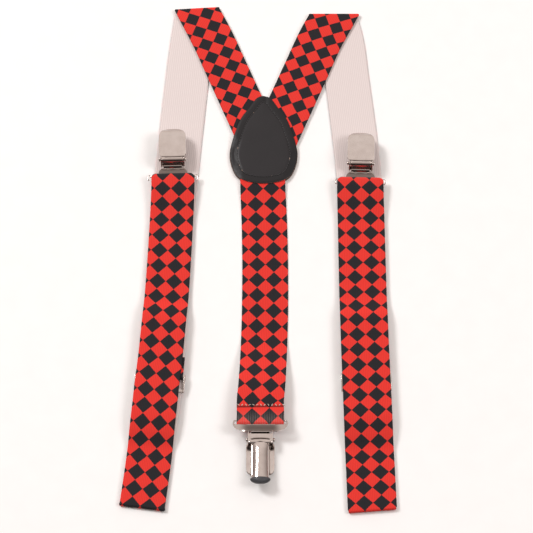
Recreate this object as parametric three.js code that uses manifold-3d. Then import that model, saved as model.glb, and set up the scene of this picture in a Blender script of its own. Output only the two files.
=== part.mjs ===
// Y-back clip suspenders, laid flat with the front straps folded up. Millimetres, +Z up.
// The object lies on the plane Z = 0 with its clips' jaws closed. +X is the wearer's left strap
// seen from the face side, +Y points to the shoulder folds.
import * as THREE from 'three';
import { mergeVertices } from 'three/addons/utils/BufferGeometryUtils.js';
import Module from 'manifold-3d';

const wasm = await Module();
wasm.setup();

// ---------------------------------------------------------------- driving dimensions
const WEB = 1.1;            // thickness of the elastic webbing
const GAP = 0.3;            // air kept between two layers
const STEP = 7;             // spacing of the stations along a strap
const TABLE = WEB / 2;      // mid-height of webbing that lies on the table

const SHEET = 1.0;          // clip shell sheet
const BAIL_HALF = 1.0;      // half depth of the bail bar
const LOOP_R = 1.95;        // webbing mid-surface radius round a bail bar
const SLOT_HALF = 18.3;     // half width of the strap slot in a clip
const SHELL_HALF = 19.8;    // half width of a clip shell
const NECK_HALF = 9.4;      // half width of the shell's neck
const PIN_Y = 12;           // pin's distance from the bail
const PIN_Z = 5.6;          // pin's height above the shell's sheet
const PIN_R = 1.0;
const ROLL_R = 2.9;         // lever's roll round the pin
const LEVER_HALF = 11;
const JAW_TIP = 45;         // tip of both jaws, from the bail
const TONGUE_R = 7.2;       // outer radius of the half-round tongue
const TONGUE_DROP = 3.6;    // crown of the tongue below the shell's sheet
const TONGUE_ANGLE = 0.985; // half of the arc that the tongue covers, in radians

const FRONT_BAIL_Z = 5.2;   // height of a front clip's bail bar
const BACK_BAIL_Z = 8.6;    // height of the back clip's bail bar

const LEATHER = 1.2;        // thickness of a leather layer
const PATCH_WEB_Z = LEATHER + GAP + WEB / 2;
const PATCH_X = -2.3;       // patch centreline
const PATCH_Y = 96;         // height of the patch's widest level

const FOLD_R = 1.05;        // mid-surface radius of a flat fold
const INNER_LIFT_Z = 2.35;  // inner leg's mid-height where it runs through the adjuster
const OUTER_HUMP_Z = 7.5;   // outer leg's mid-height over the adjuster
const BAR_Z = 4.85;         // adjuster's strap bar, mid-height
const BAR_LOOP_R = 1.15;    // webbing mid-surface radius round the strap bar
const ADJUSTER_HALF = 19.1; // half width of an adjuster
const CHEEK = 1.2;          // thickness of an adjuster's cheek

// ---------------------------------------------------------------- finishes
const finish = (color, roughness, metalness) => ({ color, roughness, metalness });
const WEBBING = finish(0xd8372f, 0.85, 0);
const LEATHERETTE = finish(0x2b282a, 0.5, 0);
const NICKEL = finish(0xbdb5ae, 0.22, 1);
const GRIP_PLASTIC = finish(0x3a3a3c, 0.6, 0);

// ---------------------------------------------------------------- solids
/** Bare geometry from points and triangles, wound so that its volume is positive. */
function closedGeometry(points, triangles) {
  const position = new Float32Array(points.flatMap((p) => [p.x, p.y, p.z]));
  let volume = 0;
  for (const [a, b, c] of triangles) {
    volume += points[a].dot(points[b].clone().cross(points[c]));
  }
  const index = triangles.flatMap(([a, b, c]) => (volume < 0 ? [a, c, b] : [a, b, c]));
  const geometry = new THREE.BufferGeometry();
  geometry.setAttribute('position', new THREE.BufferAttribute(position, 3));
  geometry.setIndex(index);
  return geometry;
}

/** Closed solid through a row of closed sections, each in a plane of constant Y. */
function loft(sections) {
  const count = sections[0].length;
  const triangles = [];
  for (let s = 0; s + 1 < sections.length; s += 1) {
    for (let i = 0; i < count; i += 1) {
      const a = s * count + i;
      const b = s * count + ((i + 1) % count);
      triangles.push([a, b, b + count], [a, b + count, a + count]);
    }
  }
  const outline = sections[0].map((p) => new THREE.Vector2(p.x, p.z));
  const winding = Math.sign(THREE.ShapeUtils.area(outline));
  const last = (sections.length - 1) * count;
  for (const face of THREE.ShapeUtils.triangulateShape(outline, [])) {
    const turned = Math.sign(THREE.ShapeUtils.area(face.map((i) => outline[i]))) !== winding;
    const [a, b, c] = turned ? [face[0], face[2], face[1]] : face;
    triangles.push([a, c, b], [last + a, last + b, last + c]);
  }
  return closedGeometry(sections.flat(), triangles);
}

function toManifold(source) {
  const bare = source.clone();
  bare.deleteAttribute('normal');
  bare.deleteAttribute('uv');
  const merged = mergeVertices(bare, 1e-4);
  const corners = Array.from(merged.index.array);
  const faces = [];
  for (let i = 0; i < corners.length; i += 3) {
    const [a, b, c] = corners.slice(i, i + 3);
    if (a !== b && b !== c && c !== a) {
      faces.push(a, b, c);
    }
  }
  return new wasm.Manifold(new wasm.Mesh({
    numProp: 3,
    vertProperties: new Float32Array(merged.attributes.position.array),
    triVerts: new Uint32Array(faces),
  }));
}

function fromManifold(solid) {
  const mesh = solid.getMesh();
  const geometry = new THREE.BufferGeometry();
  geometry.setAttribute('position', new THREE.BufferAttribute(mesh.vertProperties, 3));
  geometry.setIndex(new THREE.BufferAttribute(mesh.triVerts, 1));
  return geometry;
}

/** Join the first list of geometries and cut the second list out of the result. */
function combine(joined, cut = []) {
  let solid = toManifold(joined[0]);
  for (const geometry of joined.slice(1)) {
    solid = solid.add(toManifold(geometry));
  }
  for (const geometry of cut) {
    solid = solid.subtract(toManifold(geometry));
  }
  return fromManifold(solid);
}

function makeMesh(name, geometry, look) {
  const drawn = geometry.index ? geometry.toNonIndexed() : geometry.clone();
  drawn.computeVertexNormals();
  const mesh = new THREE.Mesh(drawn, new THREE.MeshStandardMaterial(look));
  mesh.name = name;
  return mesh;
}

/** Box given by its lowest and highest corners. */
function block([x0, y0, z0], [x1, y1, z1]) {
  const box = new THREE.BoxGeometry(x1 - x0, y1 - y0, z1 - z0);
  return box.translate((x0 + x1) / 2, (y0 + y1) / 2, (z0 + z1) / 2);
}

/** Cylinder along X, centred on (x, y, z). */
function rod(radius, length, x, y, z, sides = 16) {
  const cylinder = new THREE.CylinderGeometry(radius, radius, length, sides);
  return cylinder.rotateZ(Math.PI / 2).translate(x, y, z);
}

/** Outline through the points, always anticlockwise, with the holes clockwise. */
function outlineShape(points, holes = []) {
  const outline = points.map(([x, y]) => new THREE.Vector2(x, y));
  if (THREE.ShapeUtils.isClockWise(outline)) {
    outline.reverse();
  }
  const shape = new THREE.Shape(outline);
  for (const hole of holes) {
    const ring = hole.map(([x, y]) => new THREE.Vector2(x, y));
    if (!THREE.ShapeUtils.isClockWise(ring)) {
      ring.reverse();
    }
    shape.holes.push(new THREE.Path(ring));
  }
  return shape;
}

/** Outline whose right half is given, mirrored about X = 0. */
function mirrored(half) {
  return [...half, ...half.map(([x, y]) => [-x, y]).reverse()];
}

/** Points of an arc, both ends included. */
function arc(x, y, radius, from, to, steps) {
  const points = [];
  for (let i = 0; i <= steps; i += 1) {
    const angle = from + ((to - from) * i) / steps;
    points.push([x + radius * Math.cos(angle), y + radius * Math.sin(angle)]);
  }
  return points;
}

/** Plate with its outline in XY, from height z0 to z1. */
function plate(shape, z0, z1, curveSegments = 8) {
  const options = { depth: z1 - z0, bevelEnabled: false, curveSegments };
  return new THREE.ExtrudeGeometry(shape, options).translate(0, 0, z0);
}

/** Plate with its outline in YZ, from x0 to x1. */
function sidePlate(shape, x0, x1, curveSegments = 8) {
  const options = { depth: x1 - x0, bevelEnabled: false, curveSegments };
  const geometry = new THREE.ExtrudeGeometry(shape, options);
  const turn = new THREE.Matrix4().makeBasis(
    new THREE.Vector3(0, 1, 0),
    new THREE.Vector3(0, 0, 1),
    new THREE.Vector3(1, 0, 0),
  );
  return geometry.applyMatrix4(turn).translate(x0, 0, 0);
}

// ---------------------------------------------------------------- webbing
// A station is a place on a strap's mid-surface: a point, the direction of the straight
// line across the strap there, and half the length of that line.
const radians = THREE.MathUtils.degToRad;

function across(degrees) {
  return new THREE.Vector3(Math.cos(radians(degrees)), Math.sin(radians(degrees)), 0);
}

/** Stations along a smooth run. The ruling turns from `start` and `end` degrees, where a fold
 *  sets it, to square across the strap. */
function run(points, width, { start = null, end = null, from = 0, to = 0 } = {}) {
  const path = points.map(([x, y, z]) => new THREE.Vector3(x, y, z));
  const curve = new THREE.CatmullRomCurve3(path, false, 'centripetal');
  const length = curve.getLength();
  const steps = Math.ceil((length - from - to) / STEP);
  const turn = 22;
  const stations = [];
  for (let i = 0; i <= steps; i += 1) {
    const distance = from + ((length - from - to) * i) / steps;
    const u = distance / length;
    const tangent = curve.getTangentAt(u);
    const square = new THREE.Vector3(tangent.y, -tangent.x, 0).normalize();
    if (square.x < 0) {
      square.negate();
    }
    if (start !== null) {
      square.lerp(across(start), Math.max(0, 1 - distance / turn)).normalize();
    }
    if (end !== null) {
      square.lerp(across(end), Math.max(0, 1 - (length - distance) / turn)).normalize();
    }
    const slant = square.clone().cross(tangent).length();
    stations.push({ p: curve.getPointAt(u), a: square, half: width / 2 / slant });
  }
  return stations;
}

/** Half-round fold about a line at `degrees`, from angle `a0` to `a1`. Zero is the outermost
 *  point of the fold, a quarter turn is its top, and `out` is +1 or -1 along the strap. */
function fold([x, y, z], degrees, radius, out, half, a0 = Math.PI / 2, a1 = -Math.PI / 2) {
  const axis = across(degrees);
  const outward = new THREE.Vector3(-axis.y, axis.x, 0).multiplyScalar(out);
  const stations = [];
  const steps = 8;
  for (let i = 0; i <= steps; i += 1) {
    const angle = a0 + ((a1 - a0) * i) / steps;
    const p = new THREE.Vector3(x, y, z + radius * Math.sin(angle));
    p.addScaledVector(outward, radius * Math.cos(angle));
    stations.push({ p, a: axis, half });
  }
  return stations;
}

/** Solid strap through its stations. */
function webbing(stations) {
  const sections = stations.map((station, i) => {
    const before = stations[Math.max(0, i - 1)].p;
    const after = stations[Math.min(stations.length - 1, i + 1)].p;
    const along = after.clone().sub(before).normalize();
    const normal = station.a.clone().cross(along).normalize().multiplyScalar(WEB / 2);
    const side = station.a.clone().multiplyScalar(station.half);
    return [
      station.p.clone().add(side).add(normal),
      station.p.clone().sub(side).add(normal),
      station.p.clone().sub(side).sub(normal),
      station.p.clone().add(side).sub(normal),
    ];
  });
  return ribbonSolid(sections);
}

/** Closed solid through four-cornered sections. */
function ribbonSolid(sections) {
  const triangles = [[0, 1, 2], [0, 2, 3]];
  const last = (sections.length - 1) * 4;
  triangles.push([last, last + 2, last + 1], [last, last + 3, last + 2]);
  for (let s = 0; s + 1 < sections.length; s += 1) {
    for (let i = 0; i < 4; i += 1) {
      const a = s * 4 + i;
      const b = s * 4 + ((i + 1) % 4);
      triangles.push([b, a, a + 4], [b, a + 4, b + 4]);
    }
  }
  return closedGeometry(sections.flat(), triangles);
}

/** The arm's end inside the patch, cut along the patch's centreline. */
function armRoot(side, armX, slope, width) {
  const horizontal = width / 2 / Math.cos(Math.atan(slope));
  const cut = PATCH_X + side * GAP;
  const stations = [];
  for (const y of [98, 106, 114, 122, 130, 138, 146]) {
    const centre = armX + side * slope * (y - 150);
    const outer = centre + side * horizontal;
    const inner = side > 0 ? Math.max(cut, centre - horizontal) : Math.min(cut, centre + horizontal);
    const p = new THREE.Vector3((outer + inner) / 2, y, PATCH_WEB_Z);
    stations.push({ p, a: new THREE.Vector3(1, 0, 0), half: Math.abs(outer - inner) / 2 });
  }
  return stations;
}

// One front strap is one length of webbing. It is divided at its folds into four legs:
// the arm from the patch, the inner leg on the table, the outer leg that shows its face,
// and the return from the clip to the adjuster.
const FRONT_STRAPS = [
  {
    name: 'left',
    side: -1,
    width: 34,
    innerWidth: 34,
    armX: -22.7,
    topFold: { x: -56.5, y: 228, angle: 3.7 },
    inner: [[-58.9, 210], [-61.9, 185], [-63.8, 164], [-66.2, 137], [-68.5, 111], [-70.9, 82],
      [-72.6, 55], [-76.0, 5], [-78.0, -45]],
    adjuster: { x: -81.0, y: -98, heading: -4.8 },
    innerEnd: [[-86.4, -143], [-88.6, -166]],
    bottomFold: { x: -92.3, y: -195.8, angle: -7.5 },
    outer: [[-88.2, -160], [-86.2, -138], [-84.4, -118], [-82.7, -98], [-80.7, -78], [-79.2, -58],
      [-78.2, -30], [-76.8, 5], [-75.2, 40]],
    clip: { x: -73.7, y: 75.4, heading: 1.5 },
  },
  {
    name: 'right',
    side: 1,
    width: 36,
    innerWidth: 35,
    armX: 22.9,
    topFold: { x: 54.9, y: 222.8, angle: 0 },
    inner: [[59.4, 208], [62.3, 190], [64.2, 170], [65.9, 154], [67.7, 137], [70.8, 106],
      [73.0, 77], [73.8, 50], [74.2, 5], [74.8, -45]],
    adjuster: { x: 75.8, y: -98, heading: 1.2 },
    innerEnd: [[77.0, -143], [77.6, -166]],
    bottomFold: { x: 78.6, y: -198.2, angle: 4.5 },
    outer: [[77.5, -160], [76.8, -138], [76.3, -118], [75.8, -98], [75.3, -78], [74.9, -58],
      [74.5, -30], [74.2, 5], [74.0, 40]],
    clip: { x: 73.9, y: 71.9, heading: -1.5 },
  },
];
const ARM_SLOPE = 0.412;
const ARM_FOLD_Z = TABLE + 2 * FOLD_R;
const RAMP = 22;            // length over which a leg climbs to or from the adjuster
const LIFT_HALF = 31;       // half length of the lifted stretch at the adjuster
const TAIL = 16;            // sewn tail of webbing at an adjuster

/** Height of an outer leg: up over the adjuster, low elsewhere. */
function outerZ(y, adjusterY) {
  const distance = Math.abs(y - adjusterY);
  const low = y < adjusterY ? ARM_FOLD_Z : TABLE + 2 * (WEB + GAP);
  const share = THREE.MathUtils.smoothstep(distance, LIFT_HALF, LIFT_HALF + RAMP);
  return THREE.MathUtils.lerp(OUTER_HUMP_Z, low, share);
}

function innerZ(y, adjusterY) {
  const distance = Math.abs(y - adjusterY);
  const share = THREE.MathUtils.smoothstep(distance, LIFT_HALF, LIFT_HALF + RAMP);
  return THREE.MathUtils.lerp(INNER_LIFT_Z, TABLE, share);
}

function returnZ(y, adjusterY) {
  const distance = y - adjusterY;
  const share = THREE.MathUtils.smoothstep(distance, LIFT_HALF, LIFT_HALF + RAMP);
  return THREE.MathUtils.lerp(BAR_Z - BAR_LOOP_R, TABLE + WEB + GAP, share);
}

/** Points every 12 mm along a polyline in plan, with the height that `heightAt` gives. */
function lay(planPoints, heightAt) {
  const plan = new THREE.CatmullRomCurve3(
    planPoints.map(([x, y]) => new THREE.Vector3(x, y, 0)), false, 'centripetal',
  );
  const steps = Math.round(plan.getLength() / 12);
  return plan.getSpacedPoints(steps).map((p) => [p.x, p.y, heightAt(p.y)]);
}

function frontStrap(strap) {
  const { name, side, width, innerWidth, topFold, bottomFold, adjuster, clip } = strap;
  const meshes = [];
  const foldMid = TABLE + FOLD_R;
  const armStart = [strap.armX + side * ARM_SLOPE * -4, 146, PATCH_WEB_Z];
  const armPoints = [
    [strap.armX + side * ARM_SLOPE * 2, 152, PATCH_WEB_Z],
    [strap.armX + side * ARM_SLOPE * 22, 172, PATCH_WEB_Z + 0.3],
    [strap.armX + side * ARM_SLOPE * 50, 200, ARM_FOLD_Z - 0.1],
    [topFold.x, topFold.y, ARM_FOLD_Z],
  ];
  const armRun = run([armStart, ...armPoints], width, { start: 0, end: topFold.angle, from: 4 });
  const topHalf = armRun[armRun.length - 1].half;
  const arm = [
    ...armRoot(side, strap.armX, ARM_SLOPE, width),
    ...armRun,
    ...fold([topFold.x, topFold.y, foldMid], topFold.angle, FOLD_R, 1, topHalf).slice(1),
  ];
  meshes.push(makeMesh(`${name}_strap_arm`, webbing(arm), WEBBING));

  const innerPlan = [
    [topFold.x, topFold.y], ...strap.inner, [adjuster.x, adjuster.y], ...strap.innerEnd,
    [bottomFold.x, bottomFold.y],
  ];
  const innerPoints = lay(innerPlan, (y) => innerZ(y, adjuster.y));
  const innerEnds = { start: topFold.angle, end: bottomFold.angle, from: GAP };
  const innerRun = run(innerPoints, innerWidth, innerEnds);
  const bottomHalf = innerRun[innerRun.length - 1].half;
  const bottom = fold(
    [bottomFold.x, bottomFold.y, foldMid], bottomFold.angle, FOLD_R, -1, bottomHalf,
    -Math.PI / 2, Math.PI / 2,
  );
  meshes.push(makeMesh(`${name}_strap_inner`, webbing([...innerRun, ...bottom.slice(1)]), WEBBING));

  const bailEnd = [clip.x, clip.y, FRONT_BAIL_Z + LOOP_R];
  const heading = across(90 + clip.heading);
  const approach = [clip.x - heading.x * 8, clip.y - heading.y * 8, FRONT_BAIL_Z + LOOP_R - 0.5];
  const outerPlan = [[bottomFold.x, bottomFold.y], ...strap.outer];
  const outerPoints = lay(outerPlan, (y) => outerZ(y, adjuster.y));
  const outerRun = run(
    [...outerPoints, approach, bailEnd], width, { start: bottomFold.angle, from: GAP },
  );
  const loop = fold(
    [clip.x, clip.y, FRONT_BAIL_Z], clip.heading, LOOP_R, 1, width / 2,
  );
  meshes.push(makeMesh(`${name}_strap_outer`, webbing([...outerRun, ...loop.slice(1)]), WEBBING));

  const adjusterUp = across(90 + adjuster.heading);
  const barCentre = [
    adjuster.x + adjusterUp.x * BAR_Y,
    adjuster.y + adjusterUp.y * BAR_Y,
  ];
  const returnStart = [clip.x, clip.y, FRONT_BAIL_Z - LOOP_R];
  const returnPlan = [
    [clip.x - heading.x * 14, clip.y - heading.y * 14],
    ...strap.outer.slice(5).reverse(),
    [barCentre[0], barCentre[1]],
  ];
  const returnPoints = lay(returnPlan, (y) => returnZ(y, adjuster.y));
  const returnRun = run([returnStart, ...returnPoints], innerWidth, { from: GAP });
  const barLoop = fold(
    [barCentre[0], barCentre[1], BAR_Z], adjuster.heading, BAR_LOOP_R, -1, innerWidth / 2,
    -Math.PI / 2, Math.PI / 2,
  );
  const tailEnd = {
    p: new THREE.Vector3(
      barCentre[0] + adjusterUp.x * TAIL, barCentre[1] + adjusterUp.y * TAIL, BAR_Z + BAR_LOOP_R,
    ),
    a: across(adjuster.heading),
    half: innerWidth / 2,
  };
  const returned = [...returnRun, ...barLoop.slice(1), tailEnd];
  meshes.push(makeMesh(`${name}_strap_return`, webbing(returned), WEBBING));
  return meshes;
}

const BACK = {
  width: 35,
  plan: [[-2.4, 92], [-3.0, 74], [-1.9, 38], [-3.4, 14], [-5.2, -10], [-6.6, -50], [-6.8, -87],
    [-5.2, -104]],
  clip: { x: -4.6, y: -132 },
  returnEnd: -112,
};

/** Back strap: down from the patch, round the bail and back under itself to its sewn end. */
function backStrap() {
  const { width, plan, clip, returnEnd } = BACK;
  const height = (y) => {
    if (y > 50) {
      return THREE.MathUtils.lerp(TABLE, PATCH_WEB_Z, THREE.MathUtils.smoothstep(y, 50, 70));
    }
    const rise = THREE.MathUtils.smoothstep(-y, 55, 112);
    return THREE.MathUtils.lerp(TABLE, BACK_BAIL_Z + 0.9, rise);
  };
  const points = lay(plan, height);
  const top = [
    ...points,
    [clip.x, clip.y + 18, BACK_BAIL_Z + 1.05],
    [clip.x, clip.y + 8, BACK_BAIL_Z + LOOP_R - 0.15],
    [clip.x, clip.y, BACK_BAIL_Z + LOOP_R],
  ];
  const loop = fold([clip.x, clip.y, BACK_BAIL_Z], 0, LOOP_R, -1, width / 2);
  const under = run([
    [clip.x, clip.y, BACK_BAIL_Z - LOOP_R],
    [clip.x, clip.y + 8, BACK_BAIL_Z - 1.5],
    [clip.x, returnEnd - 2, BACK_BAIL_Z - 0.45],
    [clip.x, returnEnd + 3, BACK_BAIL_Z - 0.6],
  ], width);
  const stations = [...run(top, width), ...loop.slice(1), ...under.slice(1)];
  return makeMesh('back_strap', webbing(stations), WEBBING);
}

// ---------------------------------------------------------------- leather patch
/** Half of the patch's outline, from its top point down to its foot, about its centreline. */
const PATCH_HALF = [[0, 52.4], [5, 50.6], [11.6, 41.6], [18.4, 31.4], [23, 18.6], [25.8, 8.6],
  [26.9, 0], [25.6, -9], [21.7, -18.2], [16, -22.9], [8, -25.2], [0, -26]];

function patchOutline() {
  const mirrored = PATCH_HALF.slice(1, -1).reverse().map(([x, y]) => [-x, y]);
  const points = [...PATCH_HALF, ...mirrored].map(([x, y]) => new THREE.Vector3(x, y, 0));
  const curve = new THREE.CatmullRomCurve3(points, true, 'centripetal');
  return curve.getSpacedPoints(56).slice(0, -1).map((p) => [p.x, p.y]);
}

function patchLayer(name, z0) {
  const geometry = plate(outlineShape(patchOutline()), z0, z0 + LEATHER);
  return makeMesh(name, geometry.translate(PATCH_X, PATCH_Y, 0), LEATHERETTE);
}

// ---------------------------------------------------------------- clips
// A clip is modelled with its bail bar on X, its jaws towards +Y and its lever side up.
const SLOT_1 = [7.0, 9.1];  // slot for the moving jaw's hook
const SLOT_2 = [12.8, 14.4];

function shellSheet() {
  const outline = mirrored([
    [SHELL_HALF - 0.8, -BAIL_HALF], [SHELL_HALF, 0], [SHELL_HALF, 2.4], [19.2, 3.9],
    [17, 5.6], [13.6, 6.8], [10.6, 8.0], [NECK_HALF, 9.3], [NECK_HALF, 15.2], [8.6, 16.6],
  ]);
  const strapSlot = mirrored([[SLOT_HALF, BAIL_HALF + 0.05], [SLOT_HALF, 3.2]]);
  const hookSlot = mirrored([[8.4, SLOT_1[0]], [8.4, SLOT_1[1]]]);
  const crescent = mirrored([[5, SLOT_2[0]], [7.6, 13.6], [5, 14.0], [2, SLOT_2[1]]]);
  return plate(outlineShape(outline, [strapSlot, hookSlot, crescent]), -SHEET / 2, SHEET / 2);
}

function ear(x) {
  const outline = [
    [8.9, -SHEET / 2], ...arc(PIN_Y, PIN_Z, 2.6, Math.PI, 0, 10), [15.1, -SHEET / 2],
  ];
  const hole = arc(PIN_Y, PIN_Z, PIN_R + GAP, 0, Math.PI * 2, 16).slice(1);
  return sidePlate(outlineShape(outline, [hole]), x, x + 1);
}

/** Arc-shaped band across the tongue at distance y, with its crown pulled in by `inset`. */
function tongueSection(y, scale, inset) {
  const points = [];
  const steps = 10;
  const centre = TONGUE_R - TONGUE_DROP;
  const ring = (radius, i) => {
    const angle = -TONGUE_ANGLE + (2 * TONGUE_ANGLE * i) / steps;
    const x = radius * Math.sin(angle) * scale;
    return new THREE.Vector3(x, y, centre - radius * Math.cos(angle) + inset * Math.cos(angle));
  };
  for (let i = 0; i <= steps; i += 1) {
    points.push(ring(TONGUE_R, i));
  }
  for (let i = steps; i >= 0; i -= 1) {
    points.push(ring(TONGUE_R - SHEET * 0.8, i));
  }
  return points;
}

function clipShell() {
  const tongue = loft([
    tongueSection(15.2, 1.12, 1.4), tongueSection(18, 1.05, 0.8), tongueSection(21, 1, 0.2),
    tongueSection(32, 1, 0), tongueSection(40, 1.05, 0), tongueSection(JAW_TIP - 0.4, 1.08, 0.2),
  ]);
  const bead = rod(1.0, 17, 0, 15.6, -0.6, 10);
  return combine([shellSheet(), ear(8.4), ear(-9.4), tongue, bead]);
}

function clipJaw() {
  const outline = mirrored([
    [7.2, 7.6], [7.2, 10.5], [6.4, 12.5], [6.4, 40], [5.4, 43.6], [3.2, JAW_TIP],
  ]);
  const sheet = plate(outlineShape(outline), 1.2, 1.9);
  const tab = block([-7.2, 7.6, -1.6], [7.2, 8.3, 1.9]);
  const hook = block([-7.2, 7.6, -1.6], [7.2, 9.4, -1.0]);
  return combine([sheet, tab, hook]);
}

function clipLever() {
  const profile = [
    [12.6, 8.0, 7.9], [15.2, 8.2, 7.9], [16.2, 8.2, 9.9], [18.4, 8.0, LEVER_HALF],
    [24, 7.6, LEVER_HALF], [30, 7.0, LEVER_HALF], [34.5, 6.2, 10.4], [37.4, 5.2, 8.4],
    [39.2, 4.0, 5.2],
  ];
  const stations = profile.map(([y, z, half]) => [
    new THREE.Vector3(half, y, z + 0.4), new THREE.Vector3(-half, y, z + 0.4),
    new THREE.Vector3(-half, y, z - 0.4), new THREE.Vector3(half, y, z - 0.4),
  ]);
  const roll = rod(ROLL_R, 15.8, 0, PIN_Y, PIN_Z, 20);
  const bore = rod(PIN_R + GAP, 20, 0, PIN_Y, PIN_Z, 16);
  return combine([ribbonSolid(stations), roll], [bore]);
}

function clipPin() {
  const shank = rod(PIN_R, 19.6, 0, PIN_Y, PIN_Z, 12);
  const heads = [-1, 1].map((side) => rod(1.5, 1.2, side * 10.4, PIN_Y, PIN_Z, 12));
  return combine([shank, ...heads]);
}

/** Grip in the tongue, with a flange that covers the tongue's end. */
function fixedGrip() {
  const centre = TONGUE_R - TONGUE_DROP;
  const section = (y, radius, top) => {
    const points = [];
    const reach = Math.acos((centre - top) / radius);
    for (let i = 0; i <= 10; i += 1) {
      const angle = -reach + (2 * reach * i) / 10;
      points.push(new THREE.Vector3(
        radius * Math.sin(angle), y, centre - radius * Math.cos(angle),
      ));
    }
    return points;
  };
  const inside = TONGUE_R - SHEET * 0.8 - GAP;
  const body = loft([section(30, inside, -0.2), section(JAW_TIP, inside, -0.2)]);
  const flange = loft([
    section(JAW_TIP - 0.1, TONGUE_R, -0.2), section(JAW_TIP + 1.0, TONGUE_R - 0.5, -0.2),
  ]);
  return combine([body, flange]);
}

function movingGrip() {
  const ribs = [31.5, 34.5, 37.5, 40.5, 43.2].map((y) => block([-5.6, y, 0.1], [5.6, y + 1.1, 0.5]));
  return combine([block([-5.8, 31, 0.3], [5.8, 44.6, 0.9]), ...ribs]);
}

function clip(name, position, headingDegrees, upsideDown) {
  const group = new THREE.Group();
  group.position.set(...position);
  group.rotation.set(upsideDown ? Math.PI : 0, 0, radians(headingDegrees));
  group.add(
    makeMesh(`${name}_clip_shell`, clipShell(), NICKEL),
    makeMesh(`${name}_clip_pin`, clipPin(), NICKEL),
    makeMesh(`${name}_clip_lever`, clipLever(), NICKEL),
    makeMesh(`${name}_clip_jaw`, clipJaw(), NICKEL),
    makeMesh(`${name}_clip_grip_fixed`, fixedGrip(), GRIP_PLASTIC),
    makeMesh(`${name}_clip_grip_moving`, movingGrip(), GRIP_PLASTIC),
  );
  return group;
}

// ---------------------------------------------------------------- adjusters
// An adjuster is modelled with its flap down, as it lies: the inner leg runs between the flap
// and the grip bar, and the return leg is sewn round the strap bar.
const BAR_Y = 4.9;          // strap bar's distance from the adjuster's middle
const HINGE = { y: 5.4, z: 1.0, r: 0.5 };

function adjusterFrame() {
  const cheek = (x) => {
    const outline = [
      [-7, 2.8], [-7, 4.2], [2.6, 5.6], [7.2, 5.5], [7.2, 0.1], [3.8, 0.15], [3.2, 2.75],
    ];
    const hole = arc(HINGE.y, HINGE.z, HINGE.r + 0.25, 0.1, Math.PI * 2 + 0.1, 12).slice(1);
    return sidePlate(outlineShape(outline, [hole]), x, x + CHEEK);
  };
  const inner = ADJUSTER_HALF - CHEEK / 2;
  const grip = block([-inner, -6.8, 3.2], [inner, -4.4, 4.0]);
  const bar = block([-inner, BAR_Y - 0.35, BAR_Z - 0.35], [inner, BAR_Y + 1.6, BAR_Z + 0.35]);
  return combine([cheek(ADJUSTER_HALF - CHEEK), cheek(-ADJUSTER_HALF), grip, bar]);
}

function adjusterFlap() {
  const half = ADJUSTER_HALF - CHEEK - GAP;
  const sheet = block([-half, -6.4, 0.05], [half, HINGE.y + 0.4, 0.85]);
  const trunnions = [-1, 1].map((side) => rod(
    HINGE.r, 1.3, side * (half + 0.45), HINGE.y, HINGE.z, 10,
  ));
  const lugs = [-1, 1].map((side) => {
    const x = side * (half - 1);
    return block([x - 1, HINGE.y - 1, 0.4], [x + 1, HINGE.y + 0.45, 1.45]);
  });
  const teeth = [];
  const count = 12;
  for (let i = 0; i < count; i += 1) {
    const x = -half + 1.6 + ((2 * half - 3.2) * i) / (count - 1);
    const tooth = new THREE.ConeGeometry(0.7, 1.2, 4).rotateX(Math.PI / 2);
    teeth.push(tooth.translate(x, -5.2, 1.1));
  }
  return combine([sheet, ...trunnions, ...lugs, ...teeth]);
}

function adjuster(name, { x, y, heading }) {
  const group = new THREE.Group();
  group.position.set(x, y, 0);
  group.rotation.set(0, 0, radians(heading));
  group.add(
    makeMesh(`${name}_adjuster_frame`, adjusterFrame(), NICKEL),
    makeMesh(`${name}_adjuster_flap`, adjusterFlap(), NICKEL),
  );
  return group;
}

// ---------------------------------------------------------------- assembly
const suspenders = new THREE.Group();
suspenders.add(
  patchLayer('patch_back', 0),
  patchLayer('patch_front', LEATHER + 2 * GAP + WEB),
  backStrap(),
  clip('back', [BACK.clip.x, BACK.clip.y, BACK_BAIL_Z], 0, true),
);
for (const strap of FRONT_STRAPS) {
  suspenders.add(
    ...frontStrap(strap),
    adjuster(strap.name, strap.adjuster),
    clip(strap.name, [strap.clip.x, strap.clip.y, FRONT_BAIL_Z], strap.clip.heading, false),
  );
}
// The origin is under the middle of the object, on the surface that it lies on.
suspenders.updateMatrixWorld(true);
const bounds = new THREE.Box3().setFromObject(suspenders);
const middle = bounds.getCenter(new THREE.Vector3());
suspenders.position.set(-middle.x, -middle.y, -bounds.min.z);

export default suspenders;
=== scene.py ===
"""Y-back clip suspenders, laid flat with the front straps folded up behind the patch.

Metres, +Z up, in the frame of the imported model. Sizes are written in millimetres, as the maker's
drawing has them, and turned to metres when a mesh is made.
"""
import logging
import math
from dataclasses import dataclass, field
from enum import Enum
from typing import Callable, Sequence

import bmesh
import bpy
import numpy as np
from mathutils import Matrix, Vector


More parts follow.
